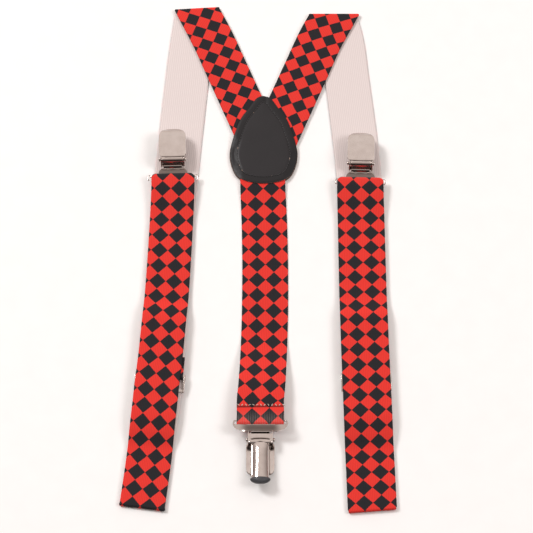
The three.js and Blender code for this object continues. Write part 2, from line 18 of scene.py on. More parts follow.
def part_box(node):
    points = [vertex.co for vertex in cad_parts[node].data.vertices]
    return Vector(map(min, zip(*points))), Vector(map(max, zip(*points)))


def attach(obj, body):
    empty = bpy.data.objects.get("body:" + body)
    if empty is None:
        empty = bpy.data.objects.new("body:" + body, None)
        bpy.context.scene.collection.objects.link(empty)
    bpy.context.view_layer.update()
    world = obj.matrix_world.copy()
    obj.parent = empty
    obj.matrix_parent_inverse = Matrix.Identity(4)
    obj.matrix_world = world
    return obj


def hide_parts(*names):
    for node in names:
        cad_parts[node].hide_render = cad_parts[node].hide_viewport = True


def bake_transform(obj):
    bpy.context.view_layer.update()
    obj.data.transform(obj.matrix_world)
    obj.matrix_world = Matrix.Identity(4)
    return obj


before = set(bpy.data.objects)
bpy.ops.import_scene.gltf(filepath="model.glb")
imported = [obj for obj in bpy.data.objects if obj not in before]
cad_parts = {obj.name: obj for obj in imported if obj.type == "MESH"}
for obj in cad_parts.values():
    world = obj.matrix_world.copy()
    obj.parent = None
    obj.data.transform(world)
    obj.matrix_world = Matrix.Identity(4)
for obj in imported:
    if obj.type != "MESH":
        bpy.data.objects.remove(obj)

LOG = logging.getLogger("suspenders")
MM = 0.001

# ------------------------------------------------------------------ sizes shared by the pieces
WEB = 1.1  # thickness of the elastic webbing
GAP = 0.3  # air between two layers
TABLE = WEB / 2  # mid-height of webbing that lies on the table
CHECK = 13.0  # diamond check, point to point, across and along

BAIL_Z = {"front": 5.2, "back": 8.6}  # height of a clip's bail bar
LOOP_R = 1.95  # webbing mid-surface radius round a bail bar
PIN_Y, PIN_Z = 12.0, 5.6  # clip pin, from the bail and above the sheet
ROLL_R = 2.9  # lever's roll round the pin
LEVER_HALF = 10.5  # thumb plate
NECK_HALF = 9.4
SHEET = 1.0  # thickness of the clip's sheet metal
EAR_X, EAR_R, PIN_HOLE_R = 8.9, 2.6, 1.15
BAIL_HALF, BAIL_R = 17.4, 0.9
TONGUE_R, TONGUE_DROP = 7.2, 3.6
TONGUE_ANGLE = 0.985  # half of the tongue's arc, radians

LEATHER = 1.2  # thickness of a leatherette layer
PATCH_CENTRE = (-2.3, 96.0)
PATCH_WEB_Z = LEATHER + GAP + WEB / 2  # mid-height of webbing inside the patch
PATCH_CORE = (0.0, 4.0)  # where the patch's spokes meet, from its centre
PATCH_SPOKES = 224

RUN_STEP = 1.0  # spacing of a strap's stations
PLAN_STEP = 12.0  # spacing of the points that set a strap's height
FOLD_R = 1.05  # webbing mid-surface radius in a pressed fold
ARM_SLOPE = 0.412  # sideways run of an arm for each unit up
ARM_FOLD_Z = TABLE + 2 * FOLD_R
RAMP, LIFT_HALF = 22.0, 31.0  # the straps' rise over an adjuster: slope's length, flat's half length
INNER_LIFT_Z, OUTER_HUMP_Z = 2.35, 7.5  # mid-heights of the legs through and over an adjuster
BAR_Y, BAR_Z, BAR_LOOP_R = 4.9, 4.85, 1.15  # adjuster's strap bar, and the webbing round it
TRAVEL = 20.0  # adjuster, towards the clip
ADJUSTER_HALF, CHEEK = 19.1, 1.2
HINGE_Y, HINGE_Z, HINGE_R = 5.4, 1.0, 0.5  # flap's hinge
TAIL = 16.0  # end of the webbing past the adjuster's bar
SELVEDGE_SHARE = 0.62  # thickness kept at the webbing's bound edges


def layout_shift() -> np.ndarray:
    """Where the drawing's origin lies in the row frame, in millimetres, from the back clip's pin.

    Returns:
        The shift.
    """
    low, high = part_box("back_clip_pin")
    centre = (np.array(low) + np.array(high)) / 2 / MM
    return centre - np.array([-4.6, -132.0 - PIN_Y, BAIL_Z["back"] - PIN_Z])


SHIFT = layout_shift()


# ------------------------------------------------------------------ colour and node helpers
def srgb(code: str) -> tuple[float, float, float, float]:
    """Linear colour of an sRGB hex code.

    Args:
        code: six hex digits.

    Returns:
        Red, green, blue and alpha.
    """
    parts = [int(code[i : i + 2], 16) / 255 for i in (0, 2, 4)]
    linear = [c / 12.92 if c <= 0.04045 else ((c + 0.055) / 1.055) ** 2.4 for c in parts]
    return (*linear, 1.0)


def add(tree: bpy.types.NodeTree, kind: str, settings: dict | None = None,
        inputs: dict | None = None) -> bpy.types.Node:
    """Add a node with its settings and links.

    Args:
        tree: node tree to add to.
        kind: node type.
        settings: attributes to set on the node.
        inputs: socket name or index to a value, or to the output socket that feeds it.

    Returns:
        The new node.
    """
    made = tree.nodes.new(kind)
    for key, value in (settings or {}).items():
        setattr(made, key, value)
    for key, value in (inputs or {}).items():
        socket = made.inputs[key]
        if isinstance(value, bpy.types.NodeSocket):
            tree.links.new(value, socket)
        else:
            socket.default_value = value
    return made


def ramp(tree: bpy.types.NodeTree, source: bpy.types.NodeSocket,
         stops: Sequence[tuple[float, str]]) -> bpy.types.NodeSocket:
    """Colour ramp over a value.

    Args:
        tree: node tree to add to.
        source: the value that picks the colour.
        stops: place and sRGB hex code of each stop.

    Returns:
        The ramp's colour output.
    """
    made = add(tree, "ShaderNodeValToRGB", None, {"Fac": source})
    elements = made.color_ramp.elements
    while len(elements) < len(stops):
        elements.new(0.5)
    for element, (place, code) in zip(elements, stops):
        element.position = place
        element.color = srgb(code)
    return made.outputs["Color"]


def fresh_material(name: str, **sockets: float) -> tuple[bpy.types.Material, bpy.types.NodeTree]:
    """Material with one Principled shader.

    Args:
        name: name of the material.
        sockets: values of the shader's own sockets, with underscores for spaces.

    Returns:
        The material and its node tree.
    """
    made = bpy.data.materials.new(name)
    made.use_nodes = True
    tree = made.node_tree
    shader = tree.nodes["Principled BSDF"]
    for key, value in sockets.items():
        shader.inputs[key.replace("_", " ")].default_value = value
    return made, tree


def math_node(tree: bpy.types.NodeTree, operation: str,
              *values: float | bpy.types.NodeSocket) -> bpy.types.NodeSocket:
    """Result of one arithmetic node on the given values or sockets.

    Args:
        tree: node tree to add to.
        operation: what the node does.
        values: its inputs, in order.

    Returns:
        The result's socket.
    """
    made = add(tree, "ShaderNodeMath", {"operation": operation}, dict(enumerate(values)))
    return made.outputs[0]


def mix_colour(tree: bpy.types.NodeTree, share: float | bpy.types.NodeSocket,
               first: tuple | bpy.types.NodeSocket, second: tuple | bpy.types.NodeSocket,
               blend: str = "MIX") -> bpy.types.NodeSocket:
    """Colour between two colours or sockets, by share.

    Args:
        tree: node tree to add to.
        share: 0 for the first colour, 1 for the second.
        first: first colour.
        second: second colour.
        blend: how the second colour is laid on.

    Returns:
        The colour's socket.
    """
    made = add(tree, "ShaderNodeMix", {"data_type": "RGBA", "blend_type": blend},
               {0: share, 6: first, 7: second})
    return made.outputs[2]


# ------------------------------------------------------------------ finishes
@dataclass(frozen=True)
class PrintedWebbing:
    """Knitted elastic webbing, transfer printed with a diamond check on its face.
    """

    red: str = "EF3D33"
    red_shade: str = "D9322B"
    black: str = "1E1C1F"
    black_shade: str = "2B292D"
    rib: float = 1.3  # warp ribs along the strap, mm
    pick: float = 0.9  # weft picks across it, mm, drawn a little coarse so that they show

    def build(self) -> bpy.types.Material:
        """Make the material.

        Returns:
            The material.
        """
        made, tree = fresh_material("printed_elastic_webbing", Roughness=0.85, Sheen_Weight=0.05,
                                    Sheen_Roughness=0.5, Specular_IOR_Level=0.2)
        shader = tree.nodes["Principled BSDF"]
        cloth = add(tree, "ShaderNodeUVMap", {"uv_map": "cloth"}).outputs["UV"]
        # The dye creeps along single threads, a third of a millimetre either way.
        creep = add(tree, "ShaderNodeTexNoise", None, {"Vector": cloth, "Scale": 1.6, "Detail": 1.0})
        offset = add(tree, "ShaderNodeVectorMath", {"operation": "MULTIPLY_ADD"},
                     {0: creep.outputs["Color"], 1: (0.5, 0.5, 0.0), 2: cloth}).outputs[0]
        side = CHECK / math.sqrt(2.0)
        turned = add(tree, "ShaderNodeMapping", None, {
            "Vector": offset, "Rotation": (0.0, 0.0, math.pi / 4),
            "Scale": (1 / side, 1 / side, 1.0), "Location": (0.5, 0.5, 1.5),
        }).outputs[0]
        check = add(tree, "ShaderNodeTexChecker", None, {"Vector": turned, "Scale": 1.0})
        fleck = add(tree, "ShaderNodeTexNoise", None, {"Vector": cloth, "Scale": 2.4, "Detail": 2.0})
        red = mix_colour(tree, fleck.outputs["Fac"], srgb(self.red), srgb(self.red_shade))
        black = mix_colour(tree, fleck.outputs["Fac"], srgb(self.black), srgb(self.black_shade))
        printed = mix_colour(tree, check.outputs["Fac"], black, red)
        weave = self.weave(tree, cloth)
        # Painted shade: rib valleys are mixed a little darker than their tops.
        valley_shade = math_node(tree, "MULTIPLY_ADD", weave, 0.24, 0.8)
        shaded = add(tree, "ShaderNodeVectorMath", {"operation": "SCALE"},
                     {0: printed, "Scale": valley_shade}).outputs[0]
        stretch = add(tree, "ShaderNodeAttribute", {"attribute_name": "stretch"}).outputs["Fac"]
        gap = math_node(tree, "MULTIPLY", stretch,
                        math_node(tree, "LESS_THAN", weave, 0.42))
        opened_knit_and_glint = mix_colour(tree, math_node(tree, "MULTIPLY", gap, 0.3), shaded, srgb("B9A9A2"))
        # Painted shade: the crease beside the back strap's seam is darkened in colour, almost to black.
        crease = add(tree, "ShaderNodeAttribute", {"attribute_name": "crease"}).outputs["Fac"]
        crease_shaded_colour = mix_colour(tree, math_node(tree, "MULTIPLY", crease, 0.95), opened_knit_and_glint, srgb("140E10"))
        tree.links.new(crease_shaded_colour, shader.inputs["Base Color"])
        bump = add(tree, "ShaderNodeBump", None,
                   {"Strength": 0.5, "Distance": 0.00022, "Height": weave})
        tree.links.new(bump.outputs[0], shader.inputs["Normal"])
        return made

    def weave(self, tree: bpy.types.NodeTree, cloth: bpy.types.NodeSocket) -> bpy.types.NodeSocket:
        """Height of the ribs and picks, 0 to 1.

        Args:
            tree: node tree to add to.
            cloth: place on the cloth, mm.

        Returns:
            The height's socket.
        """
        place = add(tree, "ShaderNodeSeparateXYZ", None, {0: cloth})
        along = math_node(tree, "SINE", math_node(tree, "MULTIPLY", place.outputs[0], math.tau / self.rib))
        # Every other rib is half a pick on, which gives the fine slant of the knit.
        lean = math_node(tree, "MULTIPLY", place.outputs[0], 0.5)
        step = math_node(tree, "ADD", place.outputs[1], lean)
        picks = math_node(tree, "SINE", math_node(tree, "MULTIPLY", step, math.tau / self.pick))
        both = math_node(tree, "ADD", math_node(tree, "MULTIPLY", along, 0.26),
                         math_node(tree, "MULTIPLY", picks, 0.24))
        return math_node(tree, "ADD", both, 0.5)


@dataclass(frozen=True)
class WebbingReverse:
    """Undyed back of the elastic: chalky off-white ribs, quite matt, with painted shade greying the valleys
    between them.
    """

    colour: str = "E4D8D6"
    # Painted shade: the colour mixed into the valleys between the ribs.
    valley_shade: str = "D0C4C1"
    rib: float = 1.55

    def build(self) -> bpy.types.Material:
        """Make the material.

        Returns:
            The material.
        """
        made, tree = fresh_material("undyed_elastic_webbing", Roughness=0.9, Sheen_Weight=0.15,
                                    Specular_IOR_Level=0.25)
        shader = tree.nodes["Principled BSDF"]
        cloth = add(tree, "ShaderNodeUVMap", {"uv_map": "cloth"}).outputs["UV"]
        place = add(tree, "ShaderNodeSeparateXYZ", None, {0: cloth})
        ribs = math_node(tree, "SINE", math_node(tree, "MULTIPLY", place.outputs[0], math.tau / self.rib))
        picks = math_node(tree, "SINE", math_node(tree, "MULTIPLY", place.outputs[1], math.tau / 0.9))
        weave = math_node(tree, "ADD", math_node(tree, "MULTIPLY", ribs, 0.34),
                          math_node(tree, "MULTIPLY_ADD", picks, 0.14, 0.5))
        cloud = add(tree, "ShaderNodeTexNoise", None, {"Vector": cloth, "Scale": 0.12, "Detail": 3.0})
        tone = mix_colour(tree, weave, srgb(self.valley_shade), srgb(self.colour))
        soft = mix_colour(tree, math_node(tree, "MULTIPLY", cloud.outputs["Fac"], 0.35), tone, srgb("DCCFCC"))
        tree.links.new(soft, shader.inputs["Base Color"])
        bump = add(tree, "ShaderNodeBump", None,
                   {"Strength": 0.45, "Distance": 0.0002, "Height": weave})
        tree.links.new(bump.outputs[0], shader.inputs["Normal"])
        return made


@dataclass(frozen=True)
class Leatherette:
    """PVC leatherette, embossed with a fine pebble grain: soft black with a satin sheen."""

    name: str = "embossed_leatherette"
    colour: str = "1D1B1D"
    raised: str = "262325"
    grain: float = 1.1  # pebble width, mm
    roughness: float = 0.46

    def build(self) -> bpy.types.Material:
        """Make the material.

        Returns:
            The material.
        """
        made, tree = fresh_material(self.name, Specular_IOR_Level=0.3)
        shader = tree.nodes["Principled BSDF"]
        place = add(tree, "ShaderNodeTexCoord").outputs["Object"]
        pebbles = add(tree, "ShaderNodeTexVoronoi", {"feature": "SMOOTH_F1"},
                      {"Vector": place, "Scale": 1 / (self.grain * MM), "Smoothness": 0.5})
        folds = add(tree, "ShaderNodeTexNoise", None, {"Vector": place, "Scale": 420.0, "Detail": 4.0})
        cloud = add(tree, "ShaderNodeTexNoise", None, {"Vector": place, "Scale": 45.0, "Detail": 2.0})
        height = math_node(tree, "ADD", math_node(tree, "MULTIPLY", pebbles.outputs["Distance"], -0.8),
                           math_node(tree, "MULTIPLY", folds.outputs["Fac"], 0.4))
        tone = mix_colour(tree, cloud.outputs["Fac"], srgb(self.colour), srgb(self.raised))
        # The sewn border outside the stitch line is mixed darker than the panel.
        border = add(tree, "ShaderNodeAttribute", {"attribute_name": "border"}).outputs["Fac"]
        tone = mix_colour(tree, math_node(tree, "MULTIPLY", border, 0.75), tone, srgb("121012"))
        tree.links.new(tone, shader.inputs["Base Color"])
        rough = math_node(tree, "MULTIPLY_ADD", folds.outputs["Fac"], 0.25, self.roughness - 0.1)
        tree.links.new(rough, shader.inputs["Roughness"])
        bump = add(tree, "ShaderNodeBump", None,
                   {"Strength": 0.35, "Distance": 0.00012, "Height": height})
        tree.links.new(bump.outputs[0], shader.inputs["Normal"])
        return made


@dataclass(frozen=True)
class CutEdge:
    """Raw die-cut edge of the leatherette: brown backing fibres, matt and uneven."""

    def build(self) -> bpy.types.Material:
        """Make the material.

        Returns:
            The material.
        """
        made, tree = fresh_material("die_cut_leatherette_edge", Roughness=0.85)
        place = add(tree, "ShaderNodeTexCoord").outputs["Object"]
        fibre = add(tree, "ShaderNodeTexNoise", None, {"Vector": place, "Scale": 900.0, "Detail": 3.0})
        tone = ramp(tree, fibre.outputs["Fac"], [(0.3, "5B4640"), (0.55, "94776A"), (0.75, "BDA090")])
        tree.links.new(tone, tree.nodes["Principled BSDF"].inputs["Base Color"])
        bump = add(tree, "ShaderNodeBump", None,
                   {"Strength": 0.5, "Distance": 0.0001, "Height": fibre.outputs["Fac"]})
        tree.links.new(bump.outputs[0], tree.nodes["Principled BSDF"].inputs["Normal"])
        return made


@dataclass(frozen=True)
class NickelPlate:
    """Steel pressed from sheet, barrel polished and nickel plated: warm grey and mirror-like,
    with faint dimples and polishing haze."""

    colour: str = "D5CCC7"

    def build(self) -> bpy.types.Material:
        """Make the material.

        Returns:
            The material.
        """
        made, tree = fresh_material("polished_nickel_plate", Metallic=1.0)
        shader = tree.nodes["Principled BSDF"]
        place = add(tree, "ShaderNodeTexCoord").outputs["Object"]
        haze = add(tree, "ShaderNodeTexNoise", None, {"Vector": place, "Scale": 160.0, "Detail": 4.0})
        dimples = add(tree, "ShaderNodeTexNoise", None, {"Vector": place, "Scale": 70.0, "Detail": 1.0})
        tone = mix_colour(tree, haze.outputs["Fac"], srgb(self.colour), srgb("BDB2AC"))
        tree.links.new(tone, shader.inputs["Base Color"])
        rough = math_node(tree, "MULTIPLY_ADD", haze.outputs["Fac"], 0.12, 0.06)
        tree.links.new(rough, shader.inputs["Roughness"])
        bump = add(tree, "ShaderNodeBump", None,
                   {"Strength": 0.12, "Distance": 0.0005, "Height": dimples.outputs["Fac"]})
        tree.links.new(bump.outputs[0], shader.inputs["Normal"])
        return made


@dataclass(frozen=True)
class GripPlastic:
    """Soft PVC grip, injection moulded: near black, with a dull skin."""

    def build(self) -> bpy.types.Material:
        """Make the material.

        Returns:
            The material.
        """
        made, tree = fresh_material("moulded_pvc_grip", Specular_IOR_Level=0.45)
        shader = tree.nodes["Principled BSDF"]
        place = add(tree, "ShaderNodeTexCoord").outputs["Object"]
        skin = add(tree, "ShaderNodeTexNoise", None, {"Vector": place, "Scale": 700.0, "Detail": 3.0})
        tone = mix_colour(tree, skin.outputs["Fac"], srgb("29292C"), srgb("45454A"))
        tree.links.new(tone, shader.inputs["Base Color"])
        rough = math_node(tree, "MULTIPLY_ADD", skin.outputs["Fac"], 0.25, 0.38)
        tree.links.new(rough, shader.inputs["Roughness"])
        bump = add(tree, "ShaderNodeBump", None,
                   {"Strength": 0.25, "Distance": 0.0001, "Height": skin.outputs["Fac"]})
        tree.links.new(bump.outputs[0], shader.inputs["Normal"])
        return made


@dataclass(frozen=True)
class Thread:
    """Spun polyester sewing thread: twisted plies, slightly shiny along their length."""

    name: str
    colour: str
    shade: str
    # Painted highlight: colour of the glints painted on a few stitches.
    opened_knit_and_glint: str

    def build(self) -> bpy.types.Material:
        """Make the material.

        Returns:
            The material.
        """
        made, tree = fresh_material(self.name, Roughness=0.6, Sheen_Weight=0.2)
        shader = tree.nodes["Principled BSDF"]
        place = add(tree, "ShaderNodeTexCoord").outputs["Object"]
        ply = add(tree, "ShaderNodeTexWave", {"bands_direction": "DIAGONAL"},
                  {"Vector": place, "Scale": 900.0, "Distortion": 1.5})
        tone = mix_colour(tree, ply.outputs["Fac"], srgb(self.shade), srgb(self.colour))
        # Painted highlight: a few stitches are mixed towards a pale glint colour.
        glint_noise = add(tree, "ShaderNodeTexNoise", None, {"Vector": place, "Scale": 260.0, "Detail": 1.0})
        few = ramp(tree, glint_noise.outputs["Fac"], [(0.62, "000000"), (0.68, "FFFFFF")])
        tone = mix_colour(tree, few, tone, srgb(self.opened_knit_and_glint))
        tree.links.new(tone, shader.inputs["Base Color"])
        bump = add(tree, "ShaderNodeBump", None,
                   {"Strength": 0.4, "Distance": 0.00008, "Height": ply.outputs["Fac"]})
        tree.links.new(bump.outputs[0], shader.inputs["Normal"])
        return made


@dataclass(frozen=True)
class StudioPaper:
    """Matt white background paper, a trace warmer than neutral, with a faint tooth."""

    def build(self) -> bpy.types.Material:
        """Make the material.

        Returns:
            The material.
        """
        made, tree = fresh_material("matt_studio_paper", Roughness=0.95, Specular_IOR_Level=0.15)
        shader = tree.nodes["Principled BSDF"]
        place = add(tree, "ShaderNodeTexCoord").outputs["Object"]
        tooth = add(tree, "ShaderNodeTexNoise", None, {"Vector": place, "Scale": 60.0, "Detail": 3.0})
        tone = mix_colour(tree, tooth.outputs["Fac"], srgb("F6F5F4"), srgb("F1F0EF"))
        tree.links.new(tone, shader.inputs["Base Color"])
        return made


class Finish(Enum):
    """The finishes in use, each built once."""

    FACE = PrintedWebbing()
    REVERSE = WebbingReverse()
    LEATHER = Leatherette()
    BACKING = Leatherette("plain_leatherette_backing", "1E1C1E", "282628", 0.8, 0.6)
    EDGE = CutEdge()
    NICKEL = NickelPlate()
    GRIP = GripPlastic()
    # The last colour of each thread is its painted glint.
    BLACK_THREAD = Thread("black_polyester_thread", "3A3638", "141214", "A58C7E")
    PALE_THREAD = Thread("undyed_polyester_thread", "DCCFBE", "9C8E80", "FFFFFF")
    PAPER = StudioPaper()

    def material(self) -> bpy.types.Material:
        """This finish's material, made the first time it is asked for.

        Returns:
            The material.
        """
        if self.name not in _MADE:
            _MADE[self.name] = self.value.build()
        return _MADE[self.name]


_MADE: dict[str, bpy.types.Material] = {}


# ------------------------------------------------------------------ mesh helpers
@dataclass
class Body:
    """Points and faces of a mesh under construction, in millimetres."""

    points: list = field(default_factory=list)
    faces: list = field(default_factory=list)
    slots: list = field(default_factory=list)
    cloth: list = field(default_factory=list)
    marks: dict = field(default_factory=dict)

    def take(self, points: np.ndarray, faces: list, slots: list | int = 0,
             cloth: np.ndarray | None = None, marks: dict[str, np.ndarray] | None = None) -> None:
        """Add a closed shell.

        Args:
            points: its points.
            faces: its faces, as tuples of point numbers.
            slots: material slot, or one for each face.
            cloth: cloth coordinates of each point, in millimetres.
            marks: named values for each point.
        """
        base = sum(len(p) for p in self.points)
        count = len(points)
        self.points.append(np.asarray(points, float))
        self.faces += [tuple(base + i for i in face) for face in faces]
        self.slots += [slots] * len(faces) if isinstance(slots, int) else list(slots)
        self.cloth.append(np.zeros((count, 2)) if cloth is None else cloth)
        for name, values in (marks or {}).items():
            self.marks.setdefault(name, {})[base] = values

    def place(self, matrix: Matrix) -> "Body":
        """Move every point by a matrix.

        Args:
            matrix: the move.

        Returns:
            This body.
        """
        turn = np.array(matrix.to_3x3())
        shift = np.array(matrix.translation)
        self.points = [p @ turn.T + shift for p in self.points]
        return self

    def build(self, name: str, *finishes: Finish) -> bpy.types.Object:
        """Make the object, in metres and in the row frame.

        Args:
            name: name of the piece.
            finishes: its finishes, in slot order.

        Returns:
            The object, linked to the scene.
        """
        points = (np.concatenate(self.points) + SHIFT) * MM
        mesh = bpy.data.meshes.new(name)
        mesh.from_pydata(points.tolist(), [], self.faces)
        mesh.polygons.foreach_set("material_index", self.slots)
        mesh.polygons.foreach_set("use_smooth", [True] * len(self.faces))
        corners = np.zeros(len(mesh.loops), np.int32)
        mesh.loops.foreach_get("vertex_index", corners)
        cloth = np.concatenate(self.cloth)[corners]
        layer = mesh.uv_layers.new(name="cloth")
        layer.data.foreach_set("uv", cloth.astype(np.float32).ravel())
        for mark, parts in self.marks.items():
            values = np.zeros(len(points), np.float32)
            for base, part in parts.items():
                values[base : base + len(part)] = part
            mesh.attributes.new(mark, "FLOAT", "POINT").data.foreach_set("value", values)
        for finish in finishes:
            mesh.materials.append(finish.material())
        mesh.update()
        made = bpy.data.objects.new(name, mesh)
        bpy.context.scene.collection.objects.link(made)
        made.data.set_sharp_from_angle(angle=math.radians(50))
        LOG.info("%s: %d faces", name, len(self.faces))
        return made


def slab(grid: np.ndarray, thickness: float, ring: bool = False,
         bulge: float = 0.35) -> tuple[np.ndarray, list, list, np.ndarray]:
    """Closed sheet of even thickness about a grid of points.

    Args:
        grid: points, row by row. Columns cross rows turn towards the upper side.
        thickness: sheet thickness.
        ring: columns run round, row 0 is a small hole to close and the last row is the rim.
        bulge: how far the rim stands out, as a share of the thickness.

    Returns:
        Points, faces, and for each face 0 on the upper side, 1 on the lower, 2 and 3 on the rim's
        upper and lower half, and for each point its place in the flattened grid.
    """
    rows, columns = grid.shape[:2]
    if ring:
        wrapped = np.concatenate([grid[:, -1:], grid, grid[:, :1]], axis=1)
        across = wrapped[:, 2:] - wrapped[:, :-2]
    else:
        across = np.gradient(grid, axis=1)
    along = np.gradient(grid, axis=0)
    normal = np.cross(across, along)
    normal /= np.maximum(np.linalg.norm(normal, axis=2, keepdims=True), 1e-12)
    top = (grid + normal * thickness / 2).reshape(-1, 3)
    low = (grid - normal * thickness / 2).reshape(-1, 3)
    count = rows * columns
    number = np.arange(count).reshape(rows, columns)
    faces, sides = [], []
    last = columns if ring else columns - 1
    for i in range(rows - 1):
        for j in range(last):
            a, b = number[i, j], number[i, (j + 1) % columns]
            c, d = number[i + 1, (j + 1) % columns], number[i + 1, j]
            faces += [(a, b, c, d), (count + d, count + c, count + b, count + a)]
            sides += [0, 1]
    if ring:
        loop = [int(number[rows - 1, j]) for j in range(columns)]
        outward = grid[-1] - grid[-2]
        faces.append(tuple(int(n) for n in number[0][::-1]))
        faces.append(tuple(int(count + n) for n in number[0]))
        sides += [0, 1]
        loop = loop[::-1]
        outward = outward[::-1]
    else:
        loop = (
            [int(n) for n in number[0, :-1]] + [int(n) for n in number[:-1, -1]]
            + [int(n) for n in number[-1, :0:-1]] + [int(n) for n in number[:0:-1, 0]]
        )
        out = np.zeros_like(grid)
        out[:, 0] -= across[:, 0] / np.maximum(np.linalg.norm(across[:, :1], axis=2), 1e-12)
        out[:, -1] += across[:, -1] / np.maximum(np.linalg.norm(across[:, -1:], axis=2), 1e-12)
        out[0] -= along[0] / np.maximum(np.linalg.norm(along[:1], axis=2).T, 1e-12)
        out[-1] += along[-1] / np.maximum(np.linalg.norm(along[-1:], axis=2).T, 1e-12)
        outward = out.reshape(-1, 3)[loop]
    size = np.maximum(np.linalg.norm(outward, axis=1, keepdims=True), 1e-12)
    middle = grid.reshape(-1, 3)[loop] + outward / size * thickness * bulge
    edge = len(loop)
    for k in range(edge):
        a, b = loop[k], loop[(k + 1) % edge]
        m, n = 2 * count + k, 2 * count + (k + 1) % edge
        faces += [(a, m, n, b), (m, count + a, count + b, n)]
        sides += [2, 3]
    places = np.concatenate([np.arange(count), np.arange(count), np.array(loop)])
    return np.concatenate([top, low, middle]), faces, sides, places


def chaikin(points: Sequence[Sequence[float]], times: int = 2, closed: bool = False) -> np.ndarray:
    """Cut the corners off a line, keeping its ends unless it is closed.

    Args:
        points: the line's points.
        times: how many times to cut.
        closed: whether the last point joins the first.

    Returns:
        The smoother line.
    """
    line = np.asarray(points, float)
    for _ in range(times):
        nxt = np.roll(line, -1, axis=0) if closed else line[1:]
        prv = line if closed else line[:-1]
        cut = np.stack([prv * 0.75 + nxt * 0.25, prv * 0.25 + nxt * 0.75], axis=1).reshape(-1, line.shape[1])
        line = cut if closed else np.concatenate([line[:1], cut[1:-1], line[-1:]])
    return line


def mirrored(half: Sequence[Sequence[float]]) -> np.ndarray:
    """Outline whose right half is given, mirrored about X = 0.

    Args:
        half: points of the right half.

    Returns:
        The whole outline.
    """
    right = np.asarray(half, float)
    return np.concatenate([right, right[::-1] * [-1, 1]])


def from_bmesh(built: bmesh.types.BMesh) -> tuple[np.ndarray, list]:
    """Points and faces of a bmesh, which is freed.

    Args:
        built: the bmesh.

    Returns:
        Points and faces.
    """
    bmesh.ops.recalc_face_normals(built, faces=built.faces)
    built.verts.index_update()
    points = np.array([v.co[:] for v in built.verts])
    faces = [tuple(v.index for v in f.verts) for f in built.faces]
    built.free()
    return points, faces


def round_edges(built: bmesh.types.BMesh, radius: float, limit: float = 50.0) -> None:
    """Round every edge of a bmesh that is sharper than the limit, in degrees.

    Args:
        built: the bmesh.
        radius: edge rounding.
        limit: angle between faces above which an edge is rounded.
    """
    built.normal_update()
    sharp = [e for e in built.edges
             if len(e.link_faces) == 2 and e.calc_face_angle(0.0) > math.radians(limit)]
    bmesh.ops.bevel(built, geom=sharp, offset=radius, segments=2, profile=0.5, affect="EDGES",
                    clamp_overlap=True)


def pressed(outline: np.ndarray, holes: Sequence[np.ndarray], thickness: float, step: float,
            radius: float,
            bend: Callable[[float, float], float] | None = None) -> tuple[np.ndarray, list]:
    """Pressed sheet with holes and rounded edges.

    Args:
        outline: the sheet's outline in plan.
        holes: outlines of its holes.
        thickness: sheet thickness, centred on height 0.
        step: spacing of the lines that let it bend.
        radius: edge rounding.
        bend: height of the sheet at a place.

    Returns:
        Points and faces.
    """
    built = bmesh.new()
    for line in [outline, *holes]:
        ring = [built.verts.new((x, y, 0.0)) for x, y in line]
        for i, vert in enumerate(ring):
            built.edges.new((vert, ring[(i + 1) % len(ring)]))
    bmesh.ops.triangle_fill(built, use_beauty=True, use_dissolve=False, edges=built.edges[:],
                            normal=(0, 0, 1))
    low, high = outline.min(axis=0), outline.max(axis=0)
    for axis in (0, 1):
        for at in np.arange(low[axis] + step, high[axis], step):
            geometry = built.verts[:] + built.edges[:] + built.faces[:]
            co = (at, 0, 0) if axis == 0 else (0, at, 0)
            no = (1, 0, 0) if axis == 0 else (0, 1, 0)
            bmesh.ops.bisect_plane(built, geom=geometry, plane_co=co, plane_no=no, dist=1e-5)
    made = bmesh.ops.extrude_face_region(built, geom=built.faces[:])
    raised = [v for v in made["geom"] if isinstance(v, bmesh.types.BMVert)]
    bmesh.ops.translate(built, verts=raised, vec=(0, 0, thickness))
    bmesh.ops.translate(built, verts=built.verts[:], vec=(0, 0, -thickness / 2))
    bmesh.ops.recalc_face_normals(built, faces=built.faces[:])
    round_edges(built, radius)
    if bend:
        for vert in built.verts:
            vert.co.z += bend(vert.co.x, vert.co.y)
    return from_bmesh(built)


def bar(low: Sequence[float], high: Sequence[float], radius: float) -> tuple[np.ndarray, list]:
    """Bar with rounded edges between two corners, as points and faces.

    Args:
        low: lowest corner.
        high: highest corner.
        radius: edge rounding.

    Returns:
        Points and faces.
    """
    built = bmesh.new()
    bmesh.ops.create_cube(built, size=1.0)
    size = np.subtract(high, low)
    middle = np.add(high, low) / 2
    for vert in built.verts:
        vert.co = Vector(np.array(vert.co) * size + middle)
    round_edges(built, radius)
    return from_bmesh(built)


def lathe(profile: Sequence[tuple[float, float]], y: float, z: float,
          sides: int = 32) -> tuple[np.ndarray, list]:
    """Turned solid about an axis along X.

    Args:
        profile: distance along X and radius, from one end to the other.
        y: place of the axis.
        z: height of the axis.
        sides: number of sides.

    Returns:
        Points and faces.
    """
    angles = np.linspace(0, math.tau, sides, endpoint=False)
    points = [(x, y + r * math.cos(a), z + r * math.sin(a)) for x, r in profile for a in angles]
    faces = []
    for i in range(len(profile) - 1):
        for j in range(sides):
            a, b = i * sides + j, i * sides + (j + 1) % sides
            faces.append((b, b + sides, a + sides, a))
    faces.append(tuple(reversed(range(sides))))
    base = (len(profile) - 1) * sides
    faces.append(tuple(base + j for j in range(sides)))
    return np.array(points), faces


